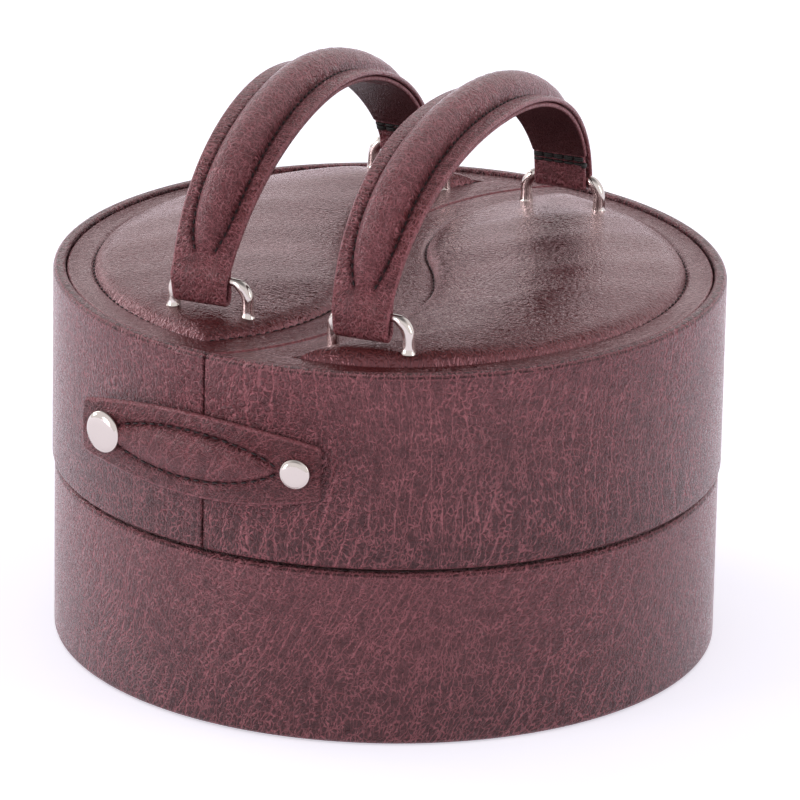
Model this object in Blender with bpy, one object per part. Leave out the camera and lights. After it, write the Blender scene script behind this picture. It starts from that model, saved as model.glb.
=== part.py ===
# Round jewelry box: a drum-shaped leather case whose upper drum is split in two halves along an S curve.
# The halves swing out sideways about one upright hinge pin at the back, and a strap with a press stud
# holds them shut at the front. Each half has a padded top and a carrying handle in two metal loops.
# Metres, +Z up. The origin is the middle of the underside, and the front seam faces -Y.

import bpy
import bmesh
from math import acos, asin, atan2, ceil, cos, degrees, floor, hypot, pi, radians, sin, sqrt, tan
from mathutils import Matrix, Vector

# Drums
LID_RADIUS = 0.1120
BASE_INSET = 0.0008
BASE_HEIGHT = 0.0597
LID_HEIGHT = 0.0668
PARTING_GAP = 0.0012
SEAM_GAP = 0.0008
STEP_DEG = 6
S_STEPS = 20

# Sheet stock
LEATHER = 0.0008
WALL_BOARD = 0.0020
FLOOR_BOARD = 0.0025
TOP_BOARD = 0.0030
LINING = 0.0010
FIT = 0.0003

# Leather rim
RIM_WIDTH = 0.0042
RIM_ROUND = 0.0020
FOOT_ROUND = 0.0018
THICKEST_ROUND = 2.6
TURN_IN = 0.0080
UNDER_TURN = 0.0062
COVER_DROP = 0.0004

# Top panel and its cushion
PANEL_DROP = 0.0010
PANEL_GROOVE = 0.0004
S_BULGE = 0.0210
BORDER_RING = 0.0089
BORDER_S = 0.0130
CROWN = 0.0080
CROWN_REACH = 0.0550
CROWN_POWER = 2.2
FOAM_MARGIN = 0.0030

# Handles
HANDLE_OFFSET = 0.0308
HANDLE_TILT = radians(8.8)
FOOT_INSET = 0.0114
ARCH_SPREAD = 0.0030
ARCH_LIFT = 0.0023
HANDLE_RISE = 0.0584
HANDLE_POWER = 2.0
STRAP_END_WIDTH = 0.0185
STRAP_MID_WIDTH = 0.0290
STRAP_LEAF = 0.0016
CORE_WIDTH = 0.0140
CORE_END_WIDTH = 0.0090
CORE_HEIGHT = 0.0066
CORE_START = 0.0240
CORE_TAPER = 0.0100
HANDLE_LINING = 0.0016
RETURN_LEAF = 0.0150
FOLD_DROP = 0.0091

# Metal loops
LOOP_SPACING = 0.0265
LOOP_HEIGHT = 0.0117
LOOP_BEND = 0.0060
BAR_RADIUS = 0.0013
FOOT_RADIUS = 0.0021
TANG_RADIUS = 0.0011
COLLAR_RADIUS = 0.0026
COLLAR_HEIGHT = 0.0012
PLATE_HALF = 0.0034
PLATE = 0.0016

# Hinge at the back
HINGE_OFFSET = 0.0040
KNUCKLE_RADIUS = 0.0033
PIN_RADIUS = 0.0015
LEAF = 0.0012
LEAF_WIDTH = 0.0200
BASE_LEAF_FOOT = 0.0260
BASE_LEAF_TOP = 0.0570
KNUCKLE_HEIGHT = 0.0120
KNUCKLES_EACH = 2
NOTCH_WIDTH = 0.0041
RIVET_SHANK = 0.0012
RIVET_HEAD = 0.0022
RIVET_DOME = 0.0010
RIVET_OFFSET = 0.0130

# Closure strap
CLOSURE_HEIGHT = 0.0935
CLOSURE_LEFT_DEG = -24.0
CLOSURE_RIGHT_DEG = 21.3
CLOSURE_JOINT_DEG = 14.2
CLOSURE_END_WIDTH = 0.0185
CLOSURE_MID_WIDTH = 0.0262
CLOSURE_STRAP = 0.0022
CLOSURE_PAD = 0.0022
CLOSURE_PAD_WIDTH = 0.0155
CLOSURE_PAD_LEFT_DEG = -16.0
STUD_DEG = -19.3
STUD_NECK = 0.0020
STUD_HEAD = 0.0024
STUD_FLANGE = 0.0044
SOCKET_RADIUS = 0.0042
SNAP_CAP_RADIUS = 0.0070
SNAP_CAP_DOME = 0.0021
CLOSURE_RIVET_DEG = 17.2
CLOSURE_RIVET_RADIUS = 0.0050
CLOSURE_RIVET_DOME = 0.0018
CLOSURE_SHANK = 0.0016

# Inside
DIVIDER = 0.0030
DIVIDER_HEIGHT = 0.0400
ROLL_WIDTH = 0.0140
ROLL_HEIGHT = 0.0210
ROLL_PITCH = 0.0150
KERB = 0.0024
KERB_HEIGHT = 0.0090
SHELF = 0.0025
SHELF_RISE = 0.0270
SHELF_SETBACK = 0.0260
PARTITION_OFFSET = 0.0340
RAIL_DEPTH = 0.0060
RAIL_HEIGHT = 0.0080
RAIL_SPAN_DEG = 50
HOOK_WIRE = 0.0010
HOOK_DROP = 0.0100
HOOK_BEND = 0.0030
HOOKS = 5
POCKET_DEPTH = 0.0110
POCKET_HEIGHT = 0.0220
POCKET_WALL = 0.0015

# Levels and radii that follow from the sizes above
BASE_RADIUS = LID_RADIUS - BASE_INSET
LID_BOTTOM = BASE_HEIGHT + PARTING_GAP
LID_TOP = LID_BOTTOM + LID_HEIGHT
SEAM = SEAM_GAP / 2
S_END = LID_RADIUS - RIM_WIDTH
PANEL_RADIUS = S_END - PANEL_GROOVE
PANEL_TOP = LID_TOP - PANEL_DROP
PANEL_UNDER = PANEL_TOP - LEATHER
BOARD_TOP = PANEL_UNDER - FIT
BOARD_BOTTOM = BOARD_TOP - TOP_BOARD
PILLOW_RADIUS = PANEL_RADIUS - BORDER_RING
HINGE_Y = LID_RADIUS + HINGE_OFFSET
STRAP_BACK = LID_RADIUS + FIT
SWING_RADIUS = HINGE_Y + STRAP_BACK
S_HALF = S_END / 2
S_RADIUS = (S_HALF ** 2 + S_BULGE ** 2) / (2 * S_BULGE)
S_CENTRE = Vector((S_RADIUS - S_BULGE, S_HALF))
S_TURN = atan2(S_CENTRE.y, S_CENTRE.x)

# The outermost foot of the handle's loops stands this far inside the rim, which sets the handle's span.
FOOT_X = HANDLE_OFFSET + LOOP_SPACING / 2 * cos(HANDLE_TILT)
FOOT_Y = LOOP_SPACING / 2 * sin(HANDLE_TILT)
FOOT_SHIFT = FOOT_Y * cos(HANDLE_TILT) - FOOT_X * sin(HANDLE_TILT)
FOOT_REACH = sqrt((S_END - FOOT_INSET) ** 2 - FOOT_X ** 2 - FOOT_Y ** 2 + FOOT_SHIFT ** 2)
HANDLE_SPAN = 2 * (FOOT_SHIFT + FOOT_REACH)


def material(name, colour, roughness, metallic=0.0):
    made = bpy.data.materials.new(name)
    made.use_nodes = True
    shader = made.node_tree.nodes["Principled BSDF"]
    shader.inputs["Base Color"].default_value = (*colour, 1.0)
    shader.inputs["Roughness"].default_value = roughness
    shader.inputs["Metallic"].default_value = metallic
    made.diffuse_color = (*colour, 1.0)
    return made


def polar(radius, angle):
    return Vector((radius * cos(angle), radius * sin(angle)))


def stops_between(start, end):
    """Angles at the whole steps that lie strictly between two angles."""
    step = radians(STEP_DEG)
    first = floor(start / step + 1e-6) + 1
    last = ceil(end / step - 1e-6) - 1
    return [index * step for index in range(first, last + 1)]


def arc(centre, radius, start, end, steps):
    turn = (end - start) / steps
    return [Vector(centre) + polar(radius, start + turn * index) for index in range(steps + 1)]


def s_edge(limit, inset, steps=S_STEPS):
    """Front to back along the S curve, set into the right half by inset, inside the limit radius."""
    front_radius = S_RADIUS + inset
    back_radius = S_RADIUS - inset
    reach = S_CENTRE.length
    front_reach = (limit ** 2 - reach ** 2 - front_radius ** 2) / (2 * front_radius * reach)
    back_reach = (limit ** 2 - reach ** 2 - back_radius ** 2) / (2 * back_radius * reach)
    front_start = S_TURN - pi + acos(front_reach)
    back_end = S_TURN + acos(max(-1.0, min(1.0, back_reach)))
    stub = front_radius * cos(front_start) - S_CENTRE.x < inset
    if stub:
        front_start = -acos((inset + S_CENTRE.x) / front_radius)
        back_end = pi - acos((S_CENTRE.x - inset) / back_radius)
    half = steps // 2
    front = arc(-S_CENTRE, front_radius, front_start, S_TURN, half)
    back = arc(S_CENTRE, back_radius, S_TURN + pi, back_end, half)
    line = front + back[1:]
    if stub:
        end_y = sqrt(limit ** 2 - inset ** 2)
        line = [Vector((inset, -end_y))] + line + [Vector((inset, end_y))]
    return line


def half_outline(radius, inset):
    """Plan of the right half: its outer arc, then the S edge from back to front."""
    edge = s_edge(radius, inset)
    start = atan2(edge[0].y, edge[0].x)
    end = atan2(edge[-1].y, edge[-1].x)
    rim = [polar(radius, angle) for angle in stops_between(start, end)]
    return [edge[0]] + rim + [edge[-1]] + edge[-2:0:-1]


def s_distance(point):
    """Distance from the S curve, positive on the right half's side."""
    if S_CENTRE.x * point.y - S_CENTRE.y * point.x < 0:
        return (point + S_CENTRE).length - S_RADIUS
    return S_RADIUS - (point - S_CENTRE).length


def crown_height(point):
    """Rise of the right half's cushion over its flat border."""
    from_s = s_distance(point) - BORDER_S
    from_rim = PILLOW_RADIUS - point.length
    if from_s <= 0 or from_rim <= 0:
        return 0.0
    nearest = (from_s ** -3 + from_rim ** -3) ** (-1 / 3)
    share = min(nearest / CROWN_REACH, 1.0)
    return CROWN * (1 - (1 - share) ** CROWN_POWER)


def finish(name, mesh_data, look, parent=None, turn=0.0, location=(0, 0, 0)):
    """Close the mesh's normals outward and put it in the scene as one named object."""
    bmesh.ops.recalc_face_normals(mesh_data, faces=mesh_data.faces)
    mesh = bpy.data.meshes.new(name)
    mesh_data.to_mesh(mesh)
    mesh_data.free()
    mesh.materials.append(look)
    mesh.shade_smooth()
    mesh.set_sharp_from_angle(angle=radians(32))
    made = bpy.data.objects.new(name, mesh)
    bpy.context.scene.collection.objects.link(made)
    made.location = location
    made.rotation_euler.z = turn
    if parent:
        made.parent = parent
        made.matrix_parent_inverse = Matrix.Translation(-parent.location)
    return made


def loft(mesh_data, sections, closed=False):
    """Skin a row of equal closed sections; an open row gets flat end caps."""
    rings = [[mesh_data.verts.new(point) for point in section] for section in sections]
    count = len(rings[0])
    pairs = list(zip(rings, rings[1:]))
    if closed:
        pairs.append((rings[-1], rings[0]))
    for ring, following in pairs:
        for index in range(count):
            after = (index + 1) % count
            mesh_data.faces.new((ring[index], ring[after], following[after], following[index]))
    if not closed:
        mesh_data.faces.new(rings[0])
        mesh_data.faces.new(rings[-1][::-1])


def prism(mesh_data, outline, bottom, top):
    loft(mesh_data, [[(point.x, point.y, level) for point in outline] for level in (bottom, top)])


def lathe(mesh_data, profile, centre=(0, 0)):
    """Turn a closed profile of (radius, height) points about an upright axis."""
    verts = [mesh_data.verts.new((centre[0] + radius, centre[1], height)) for radius, height in profile]
    edges = [mesh_data.edges.new((verts[index - 1], verts[index])) for index in range(len(verts))]
    bmesh.ops.spin(mesh_data, geom=verts + edges, cent=(*centre, 0), axis=(0, 0, 1),
                   angle=2 * pi, steps=360 // STEP_DEG, use_merge=True)


def disc(mesh_data, radius, bottom, top, centre=(0, 0), steps=360 // STEP_DEG):
    prism(mesh_data, arc(centre, radius, 0, 2 * pi, steps)[:-1], bottom, top)


def ring_wall(mesh_data, profile, start, end):
    """Sweep a closed profile of (radius, height) points round the drum between two angles."""
    angles = [start] + stops_between(start, end) + [end]
    loft(mesh_data, [[(*polar(radius, angle), height) for radius, height in profile] for angle in angles])


def seam_angles(radius):
    """Start and end of the right half's walls, clear of the seam plane."""
    edge = asin(SEAM / radius)
    return edge - pi / 2, pi / 2 - edge


def cylinder(mesh_data, start, direction, radii, steps=12):
    """A turned solid: (distance along, radius) pairs from a start point along a direction."""
    turn = Vector(direction).to_track_quat("Z", "Y").to_matrix()
    sections = []
    for along, radius in radii:
        ring = [Vector((*polar(radius, 2 * pi * index / steps), along)) for index in range(steps)]
        sections.append([Vector(start) + turn @ point for point in ring])
    loft(mesh_data, sections)


def cutter(name, mesh_data, turn=0.0, location=(0, 0, 0)):
    bmesh.ops.recalc_face_normals(mesh_data, faces=mesh_data.faces)
    mesh = bpy.data.meshes.new(name)
    mesh_data.to_mesh(mesh)
    mesh_data.free()
    tool = bpy.data.objects.new(name, mesh)
    tool.display_type = "WIRE"
    tool.hide_render = True
    tool.location = location
    tool.rotation_euler.z = turn
    bpy.context.scene.collection.objects.link(tool)
    return tool


def cut(target, tool, operation="DIFFERENCE"):
    change = target.modifiers.new("Cut " + tool.name, "BOOLEAN")
    change.operation = operation
    change.solver = "EXACT"
    change.object = tool


def front_point(angle_deg, radius, height=0.0):
    """A point by its angle from the front seam, positive toward +X."""
    angle = radians(angle_deg)
    return Vector((radius * sin(angle), -radius * cos(angle), height))


def rounded_corner(centre, radius, start_deg, end_deg, steps=3):
    return arc(centre, radius, radians(start_deg), radians(end_deg), steps)


def wrap_profile(radius, bottom, top):
    """Leather bent over the wall board's rim and under its foot, as (radius, height) points."""
    rim = radius - RIM_WIDTH
    widest = THICKEST_ROUND * LEATHER
    foot_round = min(FOOT_ROUND, widest)
    rim_round = min(RIM_ROUND, widest)
    small = rim_round / 2
    outer = rounded_corner((radius - foot_round, bottom + foot_round), foot_round, -90, 0, 2)
    outer += rounded_corner((radius - rim_round, top - rim_round), rim_round, 0, 90, 2)
    outer += [(rim + small, top), (rim, top - small), (rim, top - TURN_IN), (rim + LEATHER, top - TURN_IN)]
    outer += [(rim + LEATHER, top - LEATHER), (radius - LEATHER, top - LEATHER)]
    outer += [(radius - LEATHER, bottom + LEATHER), (radius - UNDER_TURN, bottom + LEATHER)]
    outer.append((radius - UNDER_TURN, bottom))
    return [tuple(point) for point in outer]


def wall_profile(radius, bottom, top):
    """Board that stands inside the leather wrap."""
    outer = radius - LEATHER - FIT
    return slit_profile(outer - WALL_BOARD, outer, bottom + LEATHER + FIT, top - LEATHER - FIT)


def slit_profile(inner, outer, bottom, top):
    return [(inner, bottom), (outer, bottom), (outer, top), (inner, top)]


for scene_object in list(bpy.data.objects):
    bpy.data.objects.remove(scene_object, do_unlink=True)

LEATHER_LOOK = material("burgundy_leather", (0.105, 0.030, 0.026), 0.42)
PANEL_LOOK = material("burgundy_leather_smooth", (0.090, 0.026, 0.024), 0.32)
DARK_LEATHER = material("underside_leather", (0.050, 0.018, 0.017), 0.50)
BOARD_LOOK = material("fibreboard", (0.300, 0.220, 0.150), 0.80)
SUEDE_LOOK = material("suede_lining", (0.430, 0.350, 0.270), 0.95)
FOAM_LOOK = material("foam", (0.700, 0.660, 0.560), 0.95)
NICKEL_LOOK = material("polished_nickel", (0.720, 0.690, 0.640), 0.16, 1.0)
BRASS_LOOK = material("brass", (0.650, 0.470, 0.200), 0.25, 1.0)

WALL_INNER_LID = LID_RADIUS - LEATHER - FIT - WALL_BOARD
WALL_INNER_BASE = BASE_RADIUS - LEATHER - FIT - WALL_BOARD


def swing_axis(name, location):
    axis = bpy.data.objects.new(name, None)
    axis.location = location
    bpy.context.scene.collection.objects.link(axis)
    return axis


RIGHT_AXIS = swing_axis("right_swing_axis", (0, HINGE_Y, LID_BOTTOM))
LEFT_AXIS = swing_axis("left_swing_axis", (0, HINGE_Y, LID_BOTTOM))
FLAP_AXIS = swing_axis("flap_axis",
                       front_point(CLOSURE_JOINT_DEG, STRAP_BACK + CLOSURE_STRAP, CLOSURE_HEIGHT))
SIDES = {"right": (0.0, RIGHT_AXIS), "left": (pi, LEFT_AXIS)}


# Hinge levels: the base's long knuckle, then the halves' knuckles in turn above it.
UPPER_KNUCKLES = LID_BOTTOM + PARTING_GAP
LEVELS = [UPPER_KNUCKLES + index * (KNUCKLE_HEIGHT + FIT) for index in range(2 * KNUCKLES_EACH)]
LEAF_FOOT = LEVELS[0]
LEAF_TOP = LEVELS[-1] + KNUCKLE_HEIGHT
LEAF_RIVETS = [LEAF_FOOT + (LEAF_TOP - LEAF_FOOT) * share for share in (0.15, 0.85)]
BASE_RIVETS = [-RIVET_OFFSET, RIVET_OFFSET]
BASE_RIVET_LEVEL = (BASE_LEAF_FOOT + BASE_LEAF_TOP) / 2


def back_ray(wall_radius, sideways):
    """The back wall's outward direction at a sideways offset."""
    angle = asin(sideways / wall_radius)
    return Vector((sin(angle), cos(angle), 0))


def rivet_holes(mesh_data, wall_radius, offsets, levels, shank):
    for sideways in offsets:
        out = back_ray(wall_radius, sideways)
        for level in levels:
            start = out * (wall_radius - 2 * RIM_WIDTH) + Vector((0, 0, level))
            cylinder(mesh_data, start, out, [(0, shank), (4 * RIM_WIDTH, shank)], 8)


def rivet(name, wall_radius, sideways, level, axis=None):
    """A domed rivet whose shank passes through the leaf, the leather and the wall board."""
    face = wall_radius + FIT + LEAF + FIT
    depth = face - (wall_radius - LEATHER - FIT - WALL_BOARD)
    out = back_ray(wall_radius, sideways)
    start = out * (face - depth) + Vector((0, 0, level))
    shape = [(0, RIVET_SHANK), (depth, RIVET_SHANK), (depth, RIVET_HEAD)]
    shape += [(depth + RIVET_DOME * 0.6, RIVET_HEAD * 0.8), (depth + RIVET_DOME, RIVET_HEAD * 0.35)]
    body = bmesh.new()
    cylinder(body, start, out, shape, 10)
    finish(name, body, NICKEL_LOOK, axis)


def upper_leaf(side, sign, first_level):
    """One half's hinge leaf: a plate on the wall whose rear edge rolls round the pin."""
    outer = STRAP_BACK + LEAF
    meet_y = (outer ** 2 + HINGE_Y ** 2 - KNUCKLE_RADIUS ** 2) / (2 * HINGE_Y)
    meet_x = sqrt(outer ** 2 - meet_y ** 2)
    far = asin(LEAF_WIDTH / outer)
    near = asin(meet_x / outer)
    plate = arc((0, 0), outer, pi / 2 - far, pi / 2 - near, 4)
    start = atan2(meet_y - HINGE_Y, meet_x)
    barrel = arc((0, HINGE_Y), KNUCKLE_RADIUS, start, 3 * pi / 2, 14)[1:]
    back = arc((0, 0), STRAP_BACK, pi / 2, pi / 2 - far, 4)
    outline = [Vector((sign * point.x, point.y)) for point in plate + barrel + back]
    body = bmesh.new()
    prism(body, outline, LEAF_FOOT, LEAF_TOP)
    leaf = finish(side + "_hinge_leaf", body, NICKEL_LOOK, SIDES[side][1])
    holes = bmesh.new()
    disc(holes, PIN_RADIUS + FIT, LEAF_FOOT - KNUCKLE_HEIGHT, LEAF_TOP + KNUCKLE_HEIGHT, (0, HINGE_Y), 12)
    rivet_holes(holes, LID_RADIUS, [sign * RIVET_OFFSET], LEAF_RIVETS, RIVET_SHANK + FIT)
    cut(leaf, cutter(side + "_leaf_holes", holes))
    notches = bmesh.new()
    for index in range(KNUCKLES_EACH):
        level = LEVELS[2 * index + 1 - first_level]
        corners = [(-2 * NOTCH_WIDTH, -NOTCH_WIDTH), (NOTCH_WIDTH, -NOTCH_WIDTH),
                   (NOTCH_WIDTH, 2 * NOTCH_WIDTH), (-2 * NOTCH_WIDTH, 2 * NOTCH_WIDTH)]
        box = [Vector((sign * x, HINGE_Y + y)) for x, y in corners]
        low = level - FIT if level > LEAF_FOOT else level - KNUCKLE_HEIGHT
        high = level + KNUCKLE_HEIGHT + FIT
        prism(notches, box, low, high if high < LEAF_TOP else high + KNUCKLE_HEIGHT)
    cut(leaf, cutter(side + "_leaf_notches", notches))
    for number, level in enumerate(LEAF_RIVETS, 1):
        rivet(f"{side}_hinge_rivet_{number}", LID_RADIUS, sign * RIVET_OFFSET, level, SIDES[side][1])


def base_leaf():
    """The base's leaf wraps the back of the lower drum, with one long knuckle on a saddle."""
    inner = BASE_RADIUS + FIT
    outer = inner + LEAF
    far = asin(LEAF_WIDTH / outer)
    saddle_x = KNUCKLE_RADIUS * cos(pi / 6)
    saddle = asin(saddle_x / outer)
    outline = arc((0, 0), outer, pi / 2 - far, pi / 2 - saddle, 4)
    outline += arc((0, HINGE_Y), KNUCKLE_RADIUS, -pi / 6, 7 * pi / 6, 14)
    outline += arc((0, 0), outer, pi / 2 + saddle, pi / 2 + far, 4)
    outline += arc((0, 0), inner, pi / 2 + far, pi / 2 - far, 8)
    body = bmesh.new()
    prism(body, outline, BASE_LEAF_FOOT, BASE_LEAF_TOP)
    leaf = finish("hinge_base_leaf", body, NICKEL_LOOK)
    holes = bmesh.new()
    disc(holes, PIN_RADIUS + FIT, BASE_LEAF_FOOT - KNUCKLE_HEIGHT, LEAF_TOP, (0, HINGE_Y), 12)
    rivet_holes(holes, BASE_RADIUS, BASE_RIVETS, [BASE_RIVET_LEVEL], RIVET_SHANK + FIT)
    cut(leaf, cutter("base_leaf_holes", holes))
    for number, sideways in enumerate(BASE_RIVETS, 1):
        rivet(f"hinge_base_rivet_{number}", BASE_RADIUS, sideways, BASE_RIVET_LEVEL)


def hinge_pin():
    """Headed pin, with a collar that fills the space between the base's knuckle and the halves'."""
    low = BASE_LEAF_FOOT - FIT
    high = LEAF_TOP + FIT
    head = PIN_RADIUS + (KNUCKLE_RADIUS - PIN_RADIUS) * 0.7
    shape = [(low - 2 * LEAF, head * 0.7), (low - LEAF, head), (low, head), (low, PIN_RADIUS)]
    shape += [(BASE_LEAF_TOP + FIT, PIN_RADIUS), (BASE_LEAF_TOP + FIT, KNUCKLE_RADIUS)]
    shape += [(LEAF_FOOT - FIT, KNUCKLE_RADIUS), (LEAF_FOOT - FIT, PIN_RADIUS)]
    shape += [(high, PIN_RADIUS), (high, head), (high + LEAF, head), (high + 2 * LEAF, head * 0.7)]
    body = bmesh.new()
    cylinder(body, (0, HINGE_Y, 0), (0, 0, 1), shape, 12)
    finish("hinge_pin", body, NICKEL_LOOK)


def base_drum():
    foot = COVER_DROP
    wrap = bmesh.new()
    lathe(wrap, wrap_profile(BASE_RADIUS, foot, BASE_HEIGHT))
    wrap = finish("base_leather_wrap", wrap, LEATHER_LOOK)
    wall = bmesh.new()
    lathe(wall, wall_profile(BASE_RADIUS, foot, BASE_HEIGHT))
    wall = finish("base_wall_board", wall, BOARD_LOOK)
    for drilled in (wrap, wall):
        holes = bmesh.new()
        rivet_holes(holes, BASE_RADIUS, BASE_RIVETS, [BASE_RIVET_LEVEL], RIVET_SHANK + FIT)
        cut(drilled, cutter(drilled.name + "_holes", holes))

    floor_foot = foot + LEATHER + FIT
    board = bmesh.new()
    disc(board, WALL_INNER_BASE - FIT, floor_foot, floor_foot + FLOOR_BOARD)
    finish("base_floor_board", board, BOARD_LOOK)
    cover = bmesh.new()
    disc(cover, BASE_RADIUS - UNDER_TURN - FIT, 0, floor_foot - FIT)
    finish("base_bottom_cover", cover, DARK_LEATHER)

    lining_foot = floor_foot + FLOOR_BOARD + FIT
    lining = bmesh.new()
    outer = WALL_INNER_BASE - FIT
    deck = lining_foot + LINING
    brim = BASE_HEIGHT - TURN_IN - FIT
    disc(lining, outer, lining_foot, brim)
    lining = finish("base_lining", lining, SUEDE_LOOK)
    hollow = bmesh.new()
    disc(hollow, outer - LINING, deck, brim + LINING)
    cut(lining, cutter("base_lining_hollow", hollow))

    inside = outer - LINING - FIT
    base_dividers(inside, deck + FIT)
    ring_pad(inside, deck + FIT)


def base_dividers(inside, deck):
    """A cross wall with a shorter wall to the front, cut as one T."""
    half = DIVIDER / 2
    reach = sqrt(inside ** 2 - half ** 2) * cos(radians(STEP_DEG / 2))
    corners = [(-reach, half), (-reach, -half), (-half, -half), (-half, -reach), (half, -reach),
               (half, -half), (reach, -half), (reach, half)]
    body = bmesh.new()
    prism(body, [Vector(corner) for corner in corners], deck, deck + DIVIDER_HEIGHT)
    finish("base_dividers", body, SUEDE_LOOK)


def ring_pad(inside, deck):
    """One pad of rolls behind the cross wall, sewn down in the channels between them."""
    half = ROLL_WIDTH / 2
    first = DIVIDER / 2 + FIT
    count = int((inside * 0.88 - first) / ROLL_PITCH)
    profile = []
    for index in range(count):
        middle = first + half + index * ROLL_PITCH
        for angle in (radians(step) for step in range(180, -1, -45)):
            profile.append((middle + half * cos(angle), ROLL_HEIGHT * (0.40 + 0.60 * sin(angle))))
    sections = []
    for share, scale in ((-1, 0.70), (-0.94, 1.0), (0.94, 1.0), (1, 0.70)):
        section = []
        for y, up in profile + [(y, 0.0) for y, up in profile[::-1]]:
            reach = sqrt(inside ** 2 - y ** 2) * cos(radians(STEP_DEG / 2)) - 2 * FIT
            section.append((share * reach, y, deck + up * scale))
        sections.append(section)
    body = bmesh.new()
    loft(body, sections)
    finish("base_ring_pad", body, SUEDE_LOOK)


def half_shell(side, sign):
    """Leather wrap, boards and lining of one upper half."""
    turn, axis = SIDES[side]
    start, end = seam_angles(LID_RADIUS)
    wrap = bmesh.new()
    ring_wall(wrap, wrap_profile(LID_RADIUS, LID_BOTTOM, LID_TOP), start, end)
    wrap = finish(side + "_leather_wrap", wrap, LEATHER_LOOK, axis, turn)
    wall = bmesh.new()
    ring_wall(wall, wall_profile(LID_RADIUS, LID_BOTTOM, LID_TOP), start, end)
    wall = finish(side + "_wall_board", wall, BOARD_LOOK, axis, turn)
    for drilled in (wrap, wall):
        holes = bmesh.new()
        rivet_holes(holes, LID_RADIUS, [sign * RIVET_OFFSET], LEAF_RIVETS, RIVET_SHANK + FIT)
        place = CLOSURE_RIVET_DEG if side == "right" else STUD_DEG
        shank = CLOSURE_SHANK if side == "right" else STUD_NECK
        out = front_point(place, 1.0)
        start_point = front_point(place, LID_RADIUS - 2 * RIM_WIDTH, CLOSURE_HEIGHT)
        cylinder(holes, start_point, out, [(0, shank + FIT), (4 * RIM_WIDTH, shank + FIT)], 10)
        cut(drilled, cutter(drilled.name + "_holes", holes))

    floor_foot = LID_BOTTOM + LEATHER + FIT
    floor_radius = WALL_INNER_LID - FIT
    board = bmesh.new()
    prism(board, half_outline(floor_radius, SEAM), floor_foot, floor_foot + FLOOR_BOARD)
    finish(side + "_floor_board", board, BOARD_LOOK, axis, turn)
    cover = bmesh.new()
    cover_radius = LID_RADIUS - UNDER_TURN - FIT
    prism(cover, half_outline(cover_radius, SEAM), LID_BOTTOM, floor_foot - FIT)
    finish(side + "_bottom_cover", cover, DARK_LEATHER, axis, turn)

    lining_foot = floor_foot + FLOOR_BOARD + FIT
    deck = lining_foot + LINING + FIT
    lip = S_END - FIT
    inner = lip - LINING
    shoulder = LID_TOP - TURN_IN - FIT
    lining = bmesh.new()
    profile = [(inner, lining_foot), (floor_radius, lining_foot), (floor_radius, shoulder), (lip, shoulder),
               (lip, BOARD_BOTTOM - FIT), (inner, BOARD_BOTTOM - FIT)]
    edge = s_edge(inner, SEAM)
    ring_wall(lining, profile, atan2(edge[0].y, edge[0].x), seam_angles(inner)[1])
    lining = finish(side + "_lining", lining, SUEDE_LOOK, axis, turn)
    sheet = bmesh.new()
    sheet_radius = (inner + floor_radius) / 2
    prism(sheet, half_outline(sheet_radius, SEAM), lining_foot, lining_foot + LINING)
    cut(lining, cutter(side + "_floor_sheet", sheet, turn), "UNION")

    inside = (inner - FIT) * cos(radians(STEP_DEG / 2))
    kerb = bmesh.new()
    strip = s_edge(inside, SEAM) + s_edge(inside, SEAM + KERB)[::-1]
    prism(kerb, strip, deck, deck + KERB_HEIGHT)
    finish(side + "_kerb", kerb, SUEDE_LOOK, axis, turn)
    return inside, deck


def panel_loop(radius, inset):
    """Matching rows of points along the S edge and along the outer arc, both front to back."""
    edge = s_edge(radius, inset)
    start = atan2(edge[0].y, edge[0].x)
    end = atan2(edge[-1].y, edge[-1].x)
    return edge, arc((0, 0), radius, start, end, S_STEPS)


PANEL_ROWS = (0.0, 0.06, 0.17, 0.35, 0.60, 0.82, 0.94, 1.0)


def cushion_sheet(mesh_data, edge, rim, height):
    """A grid between two rows that share their end points; returns its rim loop of vertices."""
    rows = []
    first = mesh_data.verts.new((*edge[0], height(edge[0])))
    last = mesh_data.verts.new((*edge[-1], height(edge[-1])))
    for share in PANEL_ROWS:
        points = [left.lerp(right, share) for left, right in zip(edge[1:-1], rim[1:-1])]
        middle = [mesh_data.verts.new((*point, height(point))) for point in points]
        rows.append([first] + middle + [last])
    for row, following in zip(rows, rows[1:]):
        for index in range(len(row) - 1):
            corners = (row[index], row[index + 1], following[index + 1], following[index])
            mesh_data.faces.new(list(dict.fromkeys(corners)))
    return rows[0] + rows[-1][-2:0:-1]


def bridge(mesh_data, loop, following):
    for index in range(len(loop)):
        mesh_data.faces.new((loop[index - 1], loop[index], following[index], following[index - 1]))


def loop_verts(mesh_data, edge, rim, height):
    points = edge + rim[-2:0:-1]
    return [mesh_data.verts.new((*point, height)) for point in points]


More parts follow.
